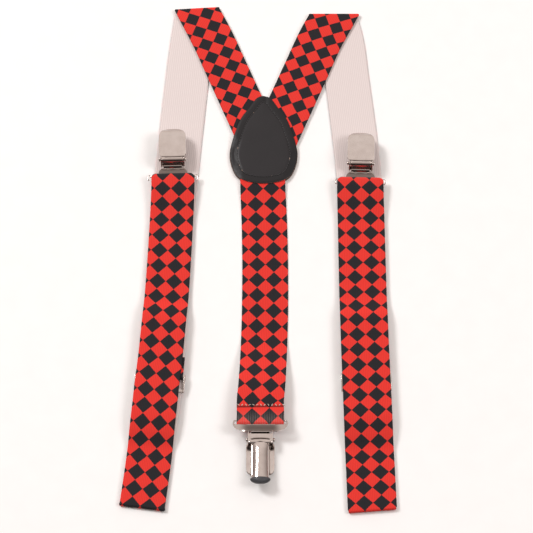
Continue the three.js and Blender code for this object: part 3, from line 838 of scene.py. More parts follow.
def tube(path: np.ndarray, radius: float, sides: int = 14) -> tuple[np.ndarray, list]:
    """Round wire along a path, with domed ends, as points and faces.

    Args:
        path: points along its middle.
        radius: wire radius.
        sides: number of sides.

    Returns:
        Points and faces.
    """
    ahead = np.gradient(path, axis=0)
    ahead /= np.linalg.norm(ahead, axis=1, keepdims=True)
    side = np.cross(ahead[0], [0.0, 0.0, 1.0])
    if np.linalg.norm(side) < 0.1:
        side = np.cross(ahead[0], [1.0, 0.0, 0.0])
    rings = []
    angles = np.linspace(0, math.tau, sides, endpoint=False)
    stations = [(0, -0.7, 0.6)] + [(i, 0.0, 1.0) for i in range(len(path))] + [(len(path) - 1, 0.7, 0.6)]
    for i, shift, scale in stations:
        side = side - ahead[i] * np.dot(side, ahead[i])
        side /= np.linalg.norm(side)
        other = np.cross(ahead[i], side)
        centre = path[i] + ahead[i] * shift * radius
        spokes = np.outer(np.cos(angles), side) + np.outer(np.sin(angles), other)
        rings.append(centre + radius * scale * spokes)
    faces = []
    for i in range(len(rings) - 1):
        for j in range(sides):
            a, b = i * sides + j, i * sides + (j + 1) % sides
            faces.append((a, b, b + sides, a + sides))
    base = (len(rings) - 1) * sides
    faces += [tuple(reversed(range(sides))), tuple(base + j for j in range(sides))]
    return np.concatenate(rings), faces


def loft(sections: Sequence[np.ndarray], radius: float = 0.0) -> tuple[np.ndarray, list]:
    """Solid through closed sections of equal count, with rounded edges, as points and faces.

    Args:
        sections: outlines, from one end to the other.
        radius: edge rounding.

    Returns:
        Points and faces.
    """
    count = len(sections[0])
    built = bmesh.new()
    verts = [[built.verts.new(p) for p in section] for section in sections]
    for i in range(len(sections) - 1):
        for j in range(count):
            k = (j + 1) % count
            built.faces.new((verts[i][j], verts[i][k], verts[i + 1][k], verts[i + 1][j]))
    built.faces.new(verts[0])
    built.faces.new(verts[-1])
    bmesh.ops.recalc_face_normals(built, faces=built.faces[:])
    if radius:
        round_edges(built, radius)
    return from_bmesh(built)


# ------------------------------------------------------------------ webbing
def catmull(points: Sequence[Sequence[float]], closed: bool = False, fine: int = 24) -> np.ndarray:
    """Dense centripetal curve through the points.

    Args:
        points: what the curve passes.
        closed: whether the last point joins the first.
        fine: steps between two points.

    Returns:
        Points on the curve.
    """
    given = np.asarray(points, float)
    if closed:
        padded = np.concatenate([given[-1:], given, given[:2]])
    else:
        padded = np.concatenate([[2 * given[0] - given[1]], given, [2 * given[-1] - given[-2]]])
    dense = []
    for i in range(len(padded) - 3):
        p0, p1, p2, p3 = padded[i : i + 4]
        d0, d1, d2 = (np.linalg.norm(b - a) ** 0.5 for a, b in ((p0, p1), (p1, p2), (p2, p3)))
        t1 = ((p1 - p0) / d0 - (p2 - p0) / (d0 + d1) + (p2 - p1) / d1) * d1
        t2 = ((p2 - p1) / d1 - (p3 - p1) / (d1 + d2) + (p3 - p2) / d2) * d1
        t = np.linspace(0, 1, fine, endpoint=False)[:, None]
        square = -3 * p1 + 3 * p2 - 2 * t1 - t2
        cube = 2 * p1 - 2 * p2 + t1 + t2
        dense.append(p1 + t1 * t + square * t**2 + cube * t**3)
    if not closed:
        dense.append(given[-1:])
    return np.concatenate(dense)


def spaced(path: np.ndarray, step: float, start: float = 0.0, closed: bool = False) -> np.ndarray:
    """Points at even distances along a dense path, from a start distance.

    Args:
        path: the dense path.
        step: greatest spacing.
        start: distance left out at the start.
        closed: whether the last point joins the first.

    Returns:
        The spaced points.
    """
    if closed:
        path = np.concatenate([path, path[:1]])
    length = np.concatenate([[0], np.cumsum(np.linalg.norm(np.diff(path, axis=0), axis=1))])
    count = max(2, int(math.ceil((length[-1] - start) / step)) + 1)
    at = np.linspace(start, length[-1], count)
    if closed:
        at = at[:-1]
    return np.stack([np.interp(at, length, path[:, k]) for k in range(path.shape[1])], axis=1)


def smooth(x: np.ndarray | float, low: float, high: float) -> np.ndarray:
    """Smooth step from 0 at low to 1 at high.

    Args:
        x: values to step over.
        low: where the step starts.
        high: where it ends.

    Returns:
        The step at each value.
    """
    t = np.clip((np.asarray(x, float) - low) / (high - low), 0, 1)
    return t * t * (3 - 2 * t)


def heading(degrees: float) -> np.ndarray:
    """Unit vector at an angle in plan.

    Args:
        degrees: angle from X.

    Returns:
        The vector.
    """
    return np.array([math.cos(math.radians(degrees)), math.sin(math.radians(degrees)), 0.0])


@dataclass
class Stations:
    """Places along a strap's mid-surface: point, line across, half length of that line, lean."""

    p: np.ndarray
    a: np.ndarray
    half: np.ndarray
    lean: np.ndarray

    @staticmethod
    def join(parts: Sequence["Stations"]) -> "Stations":
        """One row of stations from several, with the folds' lean taken from their neighbours.

        Args:
            parts: rows of stations, in order.

        Returns:
            The joined row.
        """
        made = Stations(*(np.concatenate([getattr(s, k) for s in parts]) for k in ("p", "a", "half", "lean")))
        known = ~np.isnan(made.lean)
        places = np.arange(len(known))
        made.lean = np.interp(places, places[known], made.lean[known])
        return made

    def distance(self) -> np.ndarray:
        """Distance along the strap of each station.

        Returns:
            The distances.
        """
        return np.concatenate([[0], np.cumsum(np.linalg.norm(np.diff(self.p, axis=0), axis=1))])


def run(points: Sequence[Sequence[float]], width: float, start: float | None = None,
        end: float | None = None, skip: float = 0.0) -> Stations:
    """Stations along a smooth run, turned at its ends to the folds' angles.

    Args:
        points: points that the run passes.
        width: strap width.
        start: angle of the fold at the start, in degrees.
        end: angle of the fold at the end, in degrees.
        skip: distance left out at the start.

    Returns:
        The run's stations.
    """
    path = spaced(catmull(points), RUN_STEP, skip)
    ahead = np.gradient(path, axis=0)
    ahead /= np.linalg.norm(ahead, axis=1, keepdims=True)
    square = np.stack([ahead[:, 1], -ahead[:, 0], np.zeros(len(path))], axis=1)
    square /= np.linalg.norm(square, axis=1, keepdims=True)
    square *= np.where(square[:, :1] < 0, -1, 1)
    gone = np.concatenate([[0], np.cumsum(np.linalg.norm(np.diff(path, axis=0), axis=1))])
    turn = 22.0  # the line across swings to the fold's angle over this length
    for angle, away in ((start, gone), (end, gone[-1] - gone)):
        if angle is not None:
            share = np.clip(1 - away / turn, 0, 1)[:, None]
            square = square * (1 - share) + heading(angle) * share
            square /= np.linalg.norm(square, axis=1, keepdims=True)
    slant = np.linalg.norm(np.cross(square, ahead), axis=1)
    return Stations(path, square, width / 2 / slant, np.sum(square * ahead, axis=1))


def fold(centre: Sequence[float], degrees: float, radius: float, out: int, half: float,
         first: float = math.pi / 2, last: float = -math.pi / 2, steps: int = 20) -> Stations:
    """Stations round a fold about a line in plan. Zero is its outermost point.

    Args:
        centre: middle of the fold's line.
        degrees: angle of that line.
        radius: radius of the mid-surface.
        out: 1 or -1, the side on which the fold stands out.
        half: half length of the line across.
        first: angle at which the fold starts, radians.
        last: angle at which it ends.
        steps: number of steps round it.

    Returns:
        The fold's stations.
    """
    axis = heading(degrees)
    outward = np.array([-axis[1], axis[0], 0.0]) * out
    angles = np.linspace(first, last, steps + 1)[1:-1]
    p = np.array(centre) + np.outer(np.cos(angles), outward) * radius
    p[:, 2] += np.sin(angles) * radius
    n = len(angles)
    return Stations(p, np.tile(axis, (n, 1)), np.full(n, half), np.full(n, np.nan))


ACROSS = np.concatenate([[-1.0, -0.965], np.linspace(-0.9, 0.9, 21), [0.965, 1.0]])


def strap_body(stations: Stations, width: float, phase: np.ndarray | float, slip: float = 0.0,
               stretch: np.ndarray | None = None, crease: np.ndarray | None = None,
               drop: np.ndarray | None = None, ease: np.ndarray | None = None) -> Body:
    """Mesh of a strap: printed face above, plain reverse below.

    Args:
        stations: the strap's stations.
        width: strap width.
        phase: what is added to the distance along the strap, so that the check falls right.
        slip: how far the print sits off the strap's middle.
        stretch: 0 to 1, how open the knit is at each station.
        crease: 0 to 1, how much painted shade darkens a crease at each station.
        drop: how far the surface is pressed in at each station.
        ease: share of the width kept at each station.

    Returns:
        The mesh under construction.
    """
    share = ACROSS[None, :]
    half = stations.half[:, None] * (1 if ease is None else ease[:, None])
    grid = stations.p[:, None, :] + stations.a[:, None, :] * (share * half)[:, :, None]
    if drop is not None:
        grid[:, :, 2] -= drop[:, None]
    points, faces, sides, places = slab(grid, WEB, bulge=0.25)
    u = np.broadcast_to(share * width / 2 + slip, grid.shape[:2])
    v = stations.distance()[:, None] + share * half * stations.lean[:, None]
    v = v + (phase[:, None] if isinstance(phase, np.ndarray) else phase)
    cloth = np.stack([u.ravel(), v.ravel()], axis=1)[places]
    # The bound selvedge is thinner than the middle, so its corners sit lower.
    edge = np.broadcast_to(np.abs(share) > 0.99, grid.shape[:2]).ravel()[places]
    count = grid.shape[0] * grid.shape[1]
    centre = grid.reshape(-1, 3)[places]
    pinch = edge & (np.arange(len(places)) < 2 * count)
    points[pinch] = centre[pinch] + (points[pinch] - centre[pinch]) * SELVEDGE_SHARE
    marks = {}
    for name, values in (("stretch", stretch), ("crease", crease)):
        row = np.zeros(len(stations.p)) if values is None else values
        marks[name] = np.repeat(row, grid.shape[1])[places]
    body = Body()
    body.take(points, faces, [s % 2 for s in sides], cloth, marks)
    return body


@dataclass
class FrontStrap:
    """One front strap: arm from the patch, inner leg, outer leg and the return from the clip."""

    name: str
    side: int
    width: float
    inner_width: float
    arm_x: float
    top_fold: tuple[float, float, float]
    inner: Sequence[tuple[float, float]]
    adjuster: tuple[float, float, float]
    inner_end: Sequence[tuple[float, float]]
    bottom_fold: tuple[float, float, float]
    outer: Sequence[tuple[float, float]]
    clip: tuple[float, float, float]
    arm_phase: float = 0.0
    arm_slip: float = 0.0
    outer_phase: float = 0.0
    print_rate: float = 1.0  # check rows per 13 mm, as the knit is stretched
    print_gain: float = 0.0  # how fast that rate grows along the strap, per mm
    slip: float = 0.0

    def lay(self, plan: Sequence[Sequence[float]], height: Callable) -> np.ndarray:
        """Evenly spaced points along a plan line, at the height that a function gives.

        Args:
            plan: points that the line passes.
            height: height from distance up the drawing.

        Returns:
            The points.
        """
        path = spaced(catmull([(x, y, 0.0) for x, y in plan]), PLAN_STEP)
        path[:, 2] = height(path[:, 1])
        return path

    def arm(self) -> Stations:
        """Stations of the arm, from inside the patch to the top fold.

        Returns:
            The stations.
        """
        y = np.arange(98.0, 146.1, 2.0)
        centre = self.arm_x + self.side * ARM_SLOPE * (y - 150)
        reach = self.width / 2 / math.cos(math.atan(ARM_SLOPE))
        cut = PATCH_CENTRE[0] + self.side * GAP
        outer = centre + self.side * reach
        inner = np.maximum(cut, centre - reach) if self.side > 0 else np.minimum(cut, centre + reach)
        p = np.stack([(outer + inner) / 2, y, np.full(len(y), PATCH_WEB_Z)], axis=1)
        root = Stations(p, np.tile([1.0, 0, 0], (len(y), 1)), np.abs(outer - inner) / 2,
                        np.full(len(y), self.side * math.sin(math.atan(ARM_SLOPE))))
        x, top_y, angle = self.top_fold
        at = lambda away, z: (self.arm_x + self.side * ARM_SLOPE * away, 150 + away, z)
        points = [at(-4, PATCH_WEB_Z), at(2, PATCH_WEB_Z), at(22, PATCH_WEB_Z + 0.3),
                  at(50, ARM_FOLD_Z - 0.1), (x, top_y, ARM_FOLD_Z)]
        rest = run(points, self.width, 0.0, angle, 4.0)
        return Stations.join([root, rest])

    def build(self) -> tuple[bpy.types.Object, bpy.types.Object]:
        """Make the strap and its return, each as one piece of webbing.

        Returns:
            The strap and its return.
        """
        arm = self.arm()
        x, y, top_angle = self.top_fold
        mid = TABLE + FOLD_R
        top = fold((x, y, mid), top_angle, FOLD_R, 1, arm.half[-1])
        adj_x, adj_y, _ = self.adjuster
        bx, by, low_angle = self.bottom_fold
        plan = [(x, y), *self.inner, (adj_x, adj_y), *self.inner_end, (bx, by)]
        share = lambda v: smooth(np.abs(v - adj_y), LIFT_HALF, LIFT_HALF + RAMP)
        inner = run(self.lay(plan, lambda v: INNER_LIFT_Z + (TABLE - INNER_LIFT_Z) * share(v)),
                    self.inner_width, top_angle, low_angle, GAP)
        bottom = fold((bx, by, mid), low_angle, FOLD_R, -1, inner.half[-1], -math.pi / 2, math.pi / 2)
        cx, cy, clip_turn = self.clip
        ahead = heading(90 + clip_turn)
        bail = BAIL_Z["front"]
        low = lambda v: np.where(v < adj_y, ARM_FOLD_Z, TABLE + 2 * (WEB + GAP))
        # The outer leg bridges the adjuster's travel towards the clip.
        over = lambda v: smooth(np.where(v > adj_y, v - adj_y - TRAVEL, adj_y - v),
                                LIFT_HALF, LIFT_HALF + RAMP)
        path = self.lay([(bx, by), *self.outer],
                        lambda v: OUTER_HUMP_Z + (low(v) - OUTER_HUMP_Z) * over(v))
        approach = (cx - ahead[0] * 8, cy - ahead[1] * 8, bail + LOOP_R - 0.5)
        outer = run([*path, approach, (cx, cy, bail + LOOP_R)], self.width, low_angle, None, GAP)
        loop = fold((cx, cy, bail), clip_turn, LOOP_R, 1, self.width / 2)
        parts = [arm, top, inner, bottom, outer, loop]
        whole = Stations.join(parts)
        counts = np.cumsum([len(s.p) for s in parts])
        gone = whole.distance()
        # The print's place on the outer leg is counted back from the clip.
        turned = (gone > gone[counts[2]] - 60).astype(float)
        end = gone[counts[4] - 1]
        past = gone - end
        shown = self.outer_phase + past * self.print_rate + self.print_gain * past * np.abs(past)
        phase = self.arm_phase * (1 - turned) + (shown - gone) * turned
        at_loop = np.zeros(len(gone))
        at_loop[counts[4]:] = 1.0
        near = np.exp(-((gone - gone[-1]) / 5.0) ** 2)
        slip = (self.arm_slip * (1 - turned) + self.slip * turned)[:, None]
        body = strap_body(whole, self.width, phase, slip, stretch=np.clip(near * 0.5, 0, 1),
                          ease=1 - 0.2 * smooth(gone, end - 1.5, gone[-1] - 1.5))
        made = body.build(f"{self.name}_strap_webbing", Finish.FACE, Finish.REVERSE)
        nodes = [f"{self.name}_strap_{leg}" for leg in ("arm", "inner", "outer")]
        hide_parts(*nodes)
        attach(made, "straps")
        return made, self.back_leg()

    def back_leg(self) -> bpy.types.Object:
        """The return: from the clip's bail back along the inner leg, and round the adjuster's bar.

        Returns:
            The finished piece.
        """
        cx, cy, clip_turn = self.clip
        adj_x, adj_y, adj_turn = self.adjuster
        ahead, up = heading(90 + clip_turn), heading(90 + adj_turn)
        bar_x, bar_y = adj_x + up[0] * BAR_Y, adj_y + up[1] * BAR_Y
        plan = [(cx - ahead[0] * 14, cy - ahead[1] * 14), *list(self.outer[5:])[::-1], (bar_x, bar_y)]
        high = BAR_Z - BAR_LOOP_R
        share = lambda v: smooth(v - adj_y, LIFT_HALF, LIFT_HALF + RAMP)
        path = self.lay(plan, lambda v: high + (TABLE + WEB + GAP - high) * share(v))
        leg = run([(cx, cy, BAIL_Z["front"] - LOOP_R), *path], self.inner_width, skip=GAP)
        loop = fold((bar_x, bar_y, BAR_Z), adj_turn, BAR_LOOP_R, -1, self.inner_width / 2,
                    -math.pi / 2, math.pi / 2)
        ends = np.array([(bar_x + up[0] * t, bar_y + up[1] * t, BAR_Z + BAR_LOOP_R)
                         for t in np.linspace(0, TAIL, 9)])
        n = len(ends)
        tail = Stations(ends, np.tile(heading(adj_turn), (n, 1)), np.full(n, self.inner_width / 2),
                        np.zeros(n))
        whole = Stations.join([leg, loop, tail])
        body = strap_body(whole, self.inner_width, self.outer_phase, self.slip)
        made = body.build(f"{self.name}_return_webbing", Finish.FACE, Finish.REVERSE)
        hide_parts(f"{self.name}_strap_return")
        point = lambda p: tuple((np.array(p) + SHIFT) * MM)
        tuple(point((cx, cy, 3.0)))
        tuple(point((bar_x + up[0] * 20, bar_y + up[1] * 20, 3.0)))
        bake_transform(made)
        whole.distance()[-1] * MM
        return made


@dataclass
class BackStrap:
    """Back strap: from the patch round the back clip's bail to its sewn end."""

    width: float = 35.0
    plan: Sequence[tuple[float, float]] = ((-2.4, 92), (-3.0, 74), (-1.7, 38), (-1.2, 14), (-1.0, -10),
                                           (-1.4, -50), (-2.7, -87), (-3.7, -104))
    clip: tuple[float, float] = (-4.6, -132.0)
    return_end: float = -112.0
    seam_y: float = -118.6
    crease: float = 1.3  # the crease's distance from the stitches, towards the clip
    phase: float = -2.6

    def build(self) -> bpy.types.Object:
        """Make the strap, pressed in along its seam.

        Returns:
            The finished piece.
        """
        x, y = self.clip
        bail = BAIL_Z["back"]
        path = spaced(catmull([(a, b, 0.0) for a, b in self.plan]), PLAN_STEP)
        rise = smooth(-path[:, 1], 55, 112)
        path[:, 2] = np.where(path[:, 1] > 50, TABLE + (PATCH_WEB_Z - TABLE) * smooth(path[:, 1], 50, 70),
                              TABLE + (bail + 0.9 - TABLE) * rise)
        top = run([*path, (x, y + 18, bail + 1.05), (x, y + 8, bail + LOOP_R - 0.15),
                   (x, y, bail + LOOP_R)], self.width)
        loop = fold((x, y, bail), 0.0, LOOP_R, -1, self.width / 2)
        under = run([(x, y, bail - LOOP_R), (x, y + 8, bail - 1.5), (x, self.return_end - 2, bail - 0.45),
                     (x, self.return_end + 3, bail - 0.6)], self.width, skip=GAP)
        whole = Stations.join([top, loop, under])
        # The strap runs down the drawing, so its line across is turned to keep the face up.
        whole.a, whole.lean = -whole.a, -whole.lean
        gone = whole.distance()
        end = gone[len(top.p) - 1]
        first = np.arange(len(gone)) < len(top.p)
        off = np.where(first, whole.p[:, 1] - self.seam_y, 99.0)
        # Painted shade: this mask sets the dark band painted along the crease beside the seam.
        seam = np.exp(-((off + self.crease) / 0.8) ** 2)
        stretch = np.clip(1.2 - np.abs(gone - end + 1) / 7.0, 0, 1)
        body = strap_body(whole, self.width, self.phase - end, 0.0, stretch=stretch, crease=seam,
                          drop=0.3 * np.exp(-((off + self.crease) / 1.2) ** 2))
        made = body.build("back_strap_webbing", Finish.FACE, Finish.REVERSE)
        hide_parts("back_strap")
        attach(made, "straps")
        return made


# ------------------------------------------------------------------ stitches
@dataclass
class StitchTree:
    """Geometry nodes that lay thread stitches along a curve."""

    name: str = "stitch_row"

    def build(self) -> bpy.types.NodeTree:
        """Make the tree, with named inputs for its sizes.

        Returns:
            The tree.
        """
        tree = bpy.data.node_groups.new(self.name, "GeometryNodeTree")
        face = tree.interface
        face.new_socket("Geometry", in_out="INPUT", socket_type="NodeSocketGeometry")
        for name, value in (("Pitch", 0.003), ("Stitch Length", 0.002), ("Lift", 0.0003),
                            ("Thread Radius", 0.0002), ("Zigzag", 0.0), ("Jitter", 0.1)):
            socket = face.new_socket(name, in_out="INPUT", socket_type="NodeSocketFloat")
            socket.default_value = value
        face.new_socket("Seed", in_out="INPUT", socket_type="NodeSocketInt")
        face.new_socket("Thread", in_out="INPUT", socket_type="NodeSocketMaterial")
        face.new_socket("Geometry", in_out="OUTPUT", socket_type="NodeSocketGeometry")
        given = tree.nodes.new("NodeGroupInput").outputs
        points = add(tree, "GeometryNodeCurveToPoints", {"mode": "LENGTH"},
                     {"Curve": given["Geometry"], "Length": given["Pitch"]})
        turned = add(tree, "FunctionNodeAlignRotationToVector", {"axis": "X", "pivot_axis": "Z"},
                     {"Vector": points.outputs["Tangent"]})
        half = math_node(tree, "MULTIPLY", given["Stitch Length"], 0.5)
        back = math_node(tree, "MULTIPLY", half, -1.0)
        sink = math_node(tree, "MULTIPLY", given["Lift"], -1.5)
        first = add(tree, "ShaderNodeCombineXYZ", None, {"X": back, "Z": sink})
        crown = math_node(tree, "MULTIPLY", given["Lift"], 2.5)
        middle = add(tree, "ShaderNodeCombineXYZ", None, {"Z": crown})
        last = add(tree, "ShaderNodeCombineXYZ", None, {"X": half, "Z": sink})
        bend = add(tree, "GeometryNodeCurveQuadraticBezier", None,
                   {"Resolution": 6, "Start": first.outputs[0], "Middle": middle.outputs[0],
                    "End": last.outputs[0]})
        ring = add(tree, "GeometryNodeCurvePrimitiveCircle", None,
                   {"Resolution": 7, "Radius": given["Thread Radius"]})
        stitch = add(tree, "GeometryNodeCurveToMesh", None,
                     {"Curve": bend.outputs[0], "Profile Curve": ring.outputs[0], "Fill Caps": True})
        placed = add(tree, "GeometryNodeInstanceOnPoints", None,
                     {"Points": points.outputs["Points"], "Instance": stitch.outputs[0],
                      "Rotation": turned.outputs[0]})
        index = tree.nodes.new("GeometryNodeInputIndex").outputs[0]
        odd = math_node(tree, "MULTIPLY_ADD", math_node(tree, "MODULO", index, 2.0), 2.0, -1.0)
        lean = math_node(tree, "MULTIPLY", odd, given["Zigzag"])
        loose = add(tree, "FunctionNodeRandomValue", {"data_type": "FLOAT"},
                    {"Min": -1.0, "Max": 1.0, "Seed": given["Seed"]})
        wobble = math_node(tree, "MULTIPLY", loose.outputs[1], given["Jitter"])
        turn = add(tree, "ShaderNodeCombineXYZ", None, {"Z": math_node(tree, "ADD", lean, wobble)})
        leaned = add(tree, "GeometryNodeRotateInstances", None,
                     {"Instances": placed.outputs[0], "Rotation": turn.outputs[0]})
        real = add(tree, "GeometryNodeRealizeInstances", None, {"Geometry": leaned.outputs[0]})
        smoothed = add(tree, "GeometryNodeSetShadeSmooth", None, {"Geometry": real.outputs[0]})
        dressed = add(tree, "GeometryNodeSetMaterial", None,
                      {"Geometry": smoothed.outputs[0], "Material": given["Thread"]})
        out = tree.nodes.new("NodeGroupOutput")
        tree.links.new(dressed.outputs[0], out.inputs[0])
        return tree


_TREES: dict[str, bpy.types.NodeTree] = {}


@dataclass
class Seam:
    """A row of stitches along a line, in millimetres."""

    name: str
    line: np.ndarray
    thread: Finish
    pitch: float = 3.0
    length: float = 2.1
    lift: float = 0.25
    radius: float = 0.22
    zigzag: float = 0.0
    jitter: float = 0.08
    seed: int = 1
    closed: bool = False

    def build(self) -> bpy.types.Object:
        """Make the stitches as one plain mesh.

        Returns:
            The finished piece.
        """
        if "stitch" not in _TREES:
            _TREES["stitch"] = StitchTree().build()
        curve = bpy.data.curves.new(self.name + "_line", "CURVE")
        curve.dimensions = "3D"
        spline = curve.splines.new("POLY")
        spline.points.add(len(self.line) - 1)
        points = (self.line + SHIFT) * MM
        spline.points.foreach_set("co", np.column_stack([points, np.ones(len(points))]).ravel())
        spline.use_cyclic_u = self.closed
        guide = bpy.data.objects.new(self.name + "_line", curve)
        bpy.context.scene.collection.objects.link(guide)
        modifier = guide.modifiers.new("stitches", "NODES")
        modifier.node_group = _TREES["stitch"]
        values = {"Pitch": self.pitch * MM, "Stitch Length": self.length * MM, "Lift": self.lift * MM,
                  "Thread Radius": self.radius * MM, "Zigzag": self.zigzag, "Jitter": self.jitter,
                  "Seed": self.seed, "Thread": self.thread.material()}
        for item in _TREES["stitch"].interface.items_tree:
            if item.in_out == "INPUT" and item.name in values:
                modifier[item.identifier] = values[item.name]
        bpy.context.view_layer.update()
        shown = guide.evaluated_get(bpy.context.evaluated_depsgraph_get())
        mesh = bpy.data.meshes.new_from_object(shown)
        bpy.data.objects.remove(guide)
        made = bpy.data.objects.new(self.name, mesh)
        mesh.name = self.name
        if not mesh.materials:
            mesh.materials.append(self.thread.material())
        bpy.context.scene.collection.objects.link(made)
        LOG.info("%s: %d faces", self.name, len(mesh.polygons))
        return made


# ------------------------------------------------------------------ patch
@dataclass
class Patch:
    """Two leatherette drops, sewn together over the ends of the three straps."""

    half: Sequence[tuple[float, float]] = (
        (0, 52.4), (5, 50.6), (11.6, 41.6), (18.4, 31.4), (23, 18.6), (25.8, 8.6), (26.9, 0),
        (25.6, -9), (21.7, -18.2), (16, -22.9), (8, -25.2), (0, -26))
    inset: float = 5.9  # stitch line's distance from the rim
    groove: float = 0.14  # depth pressed in by the stitches
    panel: float = 0.1  # how far the middle stands up
    turn_down: float = 0.35  # drop of the rim
    arms: Sequence[tuple[int, float, float]] = ((-1, -22.7, 34.0), (1, 22.9, 36.0))

    def outline(self, count: int) -> np.ndarray:
        """Outline about the patch's centre, evenly spaced, anticlockwise.

        Args:
            count: number of points.

        Returns:
            The outline.
        """
        right = np.array(self.half, float)
        left = right[1:-1][::-1] * [-1, 1]
        points = np.concatenate([right, left])
        ring = spaced(catmull(points, closed=True), 0.5, closed=True)
        pick = np.linspace(0, len(ring), count, endpoint=False)
        whole = np.concatenate([ring, ring[:1]])
        at = np.arange(len(whole))
        ring = np.stack([np.interp(pick, at, whole[:, k]) for k in (0, 1)], axis=1)
        return ring[::-1]

    def depth(self, points: np.ndarray, outline: np.ndarray) -> np.ndarray:
        """Distance of each point from the rim.

        Args:
            points: places about the patch's centre.
            outline: the rim.

        Returns:
            The distances.
        """
        a, b = outline, np.roll(outline, -1, axis=0)
        edge = b - a
        t = np.einsum("pkc,kc->pk", points[:, None] - a[None], edge) / np.sum(edge**2, axis=1)
        near = a[None] + np.clip(t, 0, 1)[:, :, None] * edge[None]
        return np.linalg.norm(points[:, None] - near, axis=2).min(axis=1)

    def cover(self, x: np.ndarray, y: np.ndarray, depth: np.ndarray) -> np.ndarray:
        """How far the straps hold the front layer up, 0 to 1, at places in the drawing's plan.

        Args:
            x: places across the drawing.
            y: places up the drawing.
            depth: their distance from the rim.

        Returns:
            The share at each place.
        """
        inside = smooth(depth, 3.0, 8.0)
        held = 1 - smooth(np.abs(x + 2.6), 15.5, 24.0)
        held = held * (1 - smooth(y, 88, 112))
        for side, arm_x, width in self.arms:
            centre = arm_x + side * ARM_SLOPE * (y - 150)
            away = np.abs(x - centre) * math.cos(math.atan(ARM_SLOPE))
            arm = (1 - smooth(away, width / 2 - 2, width / 2 + 6)) * smooth(y, 88, 112)
            held = np.maximum(held, arm)
        return np.maximum(held, inside)

    def height(self, x: np.ndarray, y: np.ndarray, depth: np.ndarray) -> np.ndarray:
        """Mid-height of the front layer.

        Args:
            x: places across the drawing.
            y: places up the drawing.
            depth: their distance from the rim.

        Returns:
            The height at each place.
        """
        low = LEATHER * 1.5 + 0.12
        high = PATCH_WEB_Z + WEB / 2 + LEATHER / 2 + 0.05
        base = low + (high - low) * self.cover(x, y, depth)
        groove = np.exp(-((depth - self.inset) / 0.8) ** 2) * self.groove
        panel = smooth(depth, self.inset + 0.2, self.inset + 6.0) * self.panel
        rim = (1 - smooth(depth, 0.0, 2.4)) * self.turn_down
        return base - groove + panel - rim

    def rings(self, count: int, levels: np.ndarray) -> tuple[np.ndarray, np.ndarray]:
        """Grid of plan points from the middle to the rim, and their depths.

        Args:
            count: points in a ring.
            levels: each ring's place, from the middle to the rim.

        Returns:
            The grid and the depths.
        """
        outline = self.outline(count)
        centre = np.array(PATCH_CORE)
        grid = centre + (outline - centre)[None] * levels[:, None, None]
        depth = self.depth(grid.reshape(-1, 2), outline).reshape(grid.shape[:2])
        return grid, depth

    def layer(self, name: str, front: bool) -> bpy.types.Object:
        """Make one of the two leatherette layers.

        Args:
            name: the piece's name.
            front: whether it is the face layer.

        Returns:
            The finished piece.
        """
        levels = np.concatenate([np.linspace(0.03, 0.7, 16, endpoint=False),
                                 np.linspace(0.7, 0.97, 26, endpoint=False), [0.97, 0.985, 0.995, 1.0]])
        if front:
            levels *= 0.99  # the backing's raw edge shows all round
        grid, depth = self.rings(PATCH_SPOKES, levels)
        x, y = grid[:, :, 0] + PATCH_CENTRE[0], grid[:, :, 1] + PATCH_CENTRE[1]
        if front:
            z = self.height(x, y, depth)
        else:
            z = np.full(x.shape, LEATHER / 2)
        points = np.stack([x, y, z], axis=2)
        # Rings run anticlockwise and outwards, so columns cross rows point down; flip them.
        points = points[:, ::-1]
        border = (1 - smooth(depth, self.inset - 0.3, self.inset + 0.9))[:, ::-1]
        shell, faces, sides, places = slab(points, LEATHER, ring=True, bulge=0.12)
        body = Body()
        body.take(shell, faces, [min(s, 2) for s in sides], None, {"border": border.ravel()[places]})
        main = Finish.LEATHER if front else Finish.BACKING
        return body.build(name, main, Finish.BACKING, Finish.EDGE)

    def build(self) -> list[bpy.types.Object]:
        """Make both layers and the sewn border.

        Returns:
            The three pieces.
        """
        back = self.layer("patch_backing_layer", False)
        front = self.layer("patch_front_layer", True)
        outline = self.outline(PATCH_SPOKES)
        centre = np.array(PATCH_CORE)
        # Walk inwards along each spoke until the rim is one inset away.
        scales = np.linspace(0.6, 1.0, 161)
        spokes = centre + (outline - centre)[None] * scales[:, None, None]
        depth = self.depth(spokes.reshape(-1, 2), outline).reshape(spokes.shape[:2])
        pick = np.argmin(np.abs(depth - self.inset), axis=0)
        line = spokes[pick, np.arange(len(outline))]
        line = chaikin(line, 1, closed=True)
        x, y = line[:, 0] + PATCH_CENTRE[0], line[:, 1] + PATCH_CENTRE[1]
        z = self.height(x, y, np.full(len(x), self.inset)) + LEATHER / 2
        seam = Seam("patch_border_stitches", np.stack([x, y, z + 0.2], axis=1), Finish.BLACK_THREAD,
                    pitch=2.3, length=1.7, lift=0.32, radius=0.26, closed=True, seed=3).build()
        for piece, nodes, slot in ((back, ["patch_back"], "leatherette_back"),
                                   (front, ["patch_front"], "leatherette"), (seam, [], "leatherette")):
            if nodes:
                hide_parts(*nodes)
            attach(piece, "straps")
        return [back, front, seam]


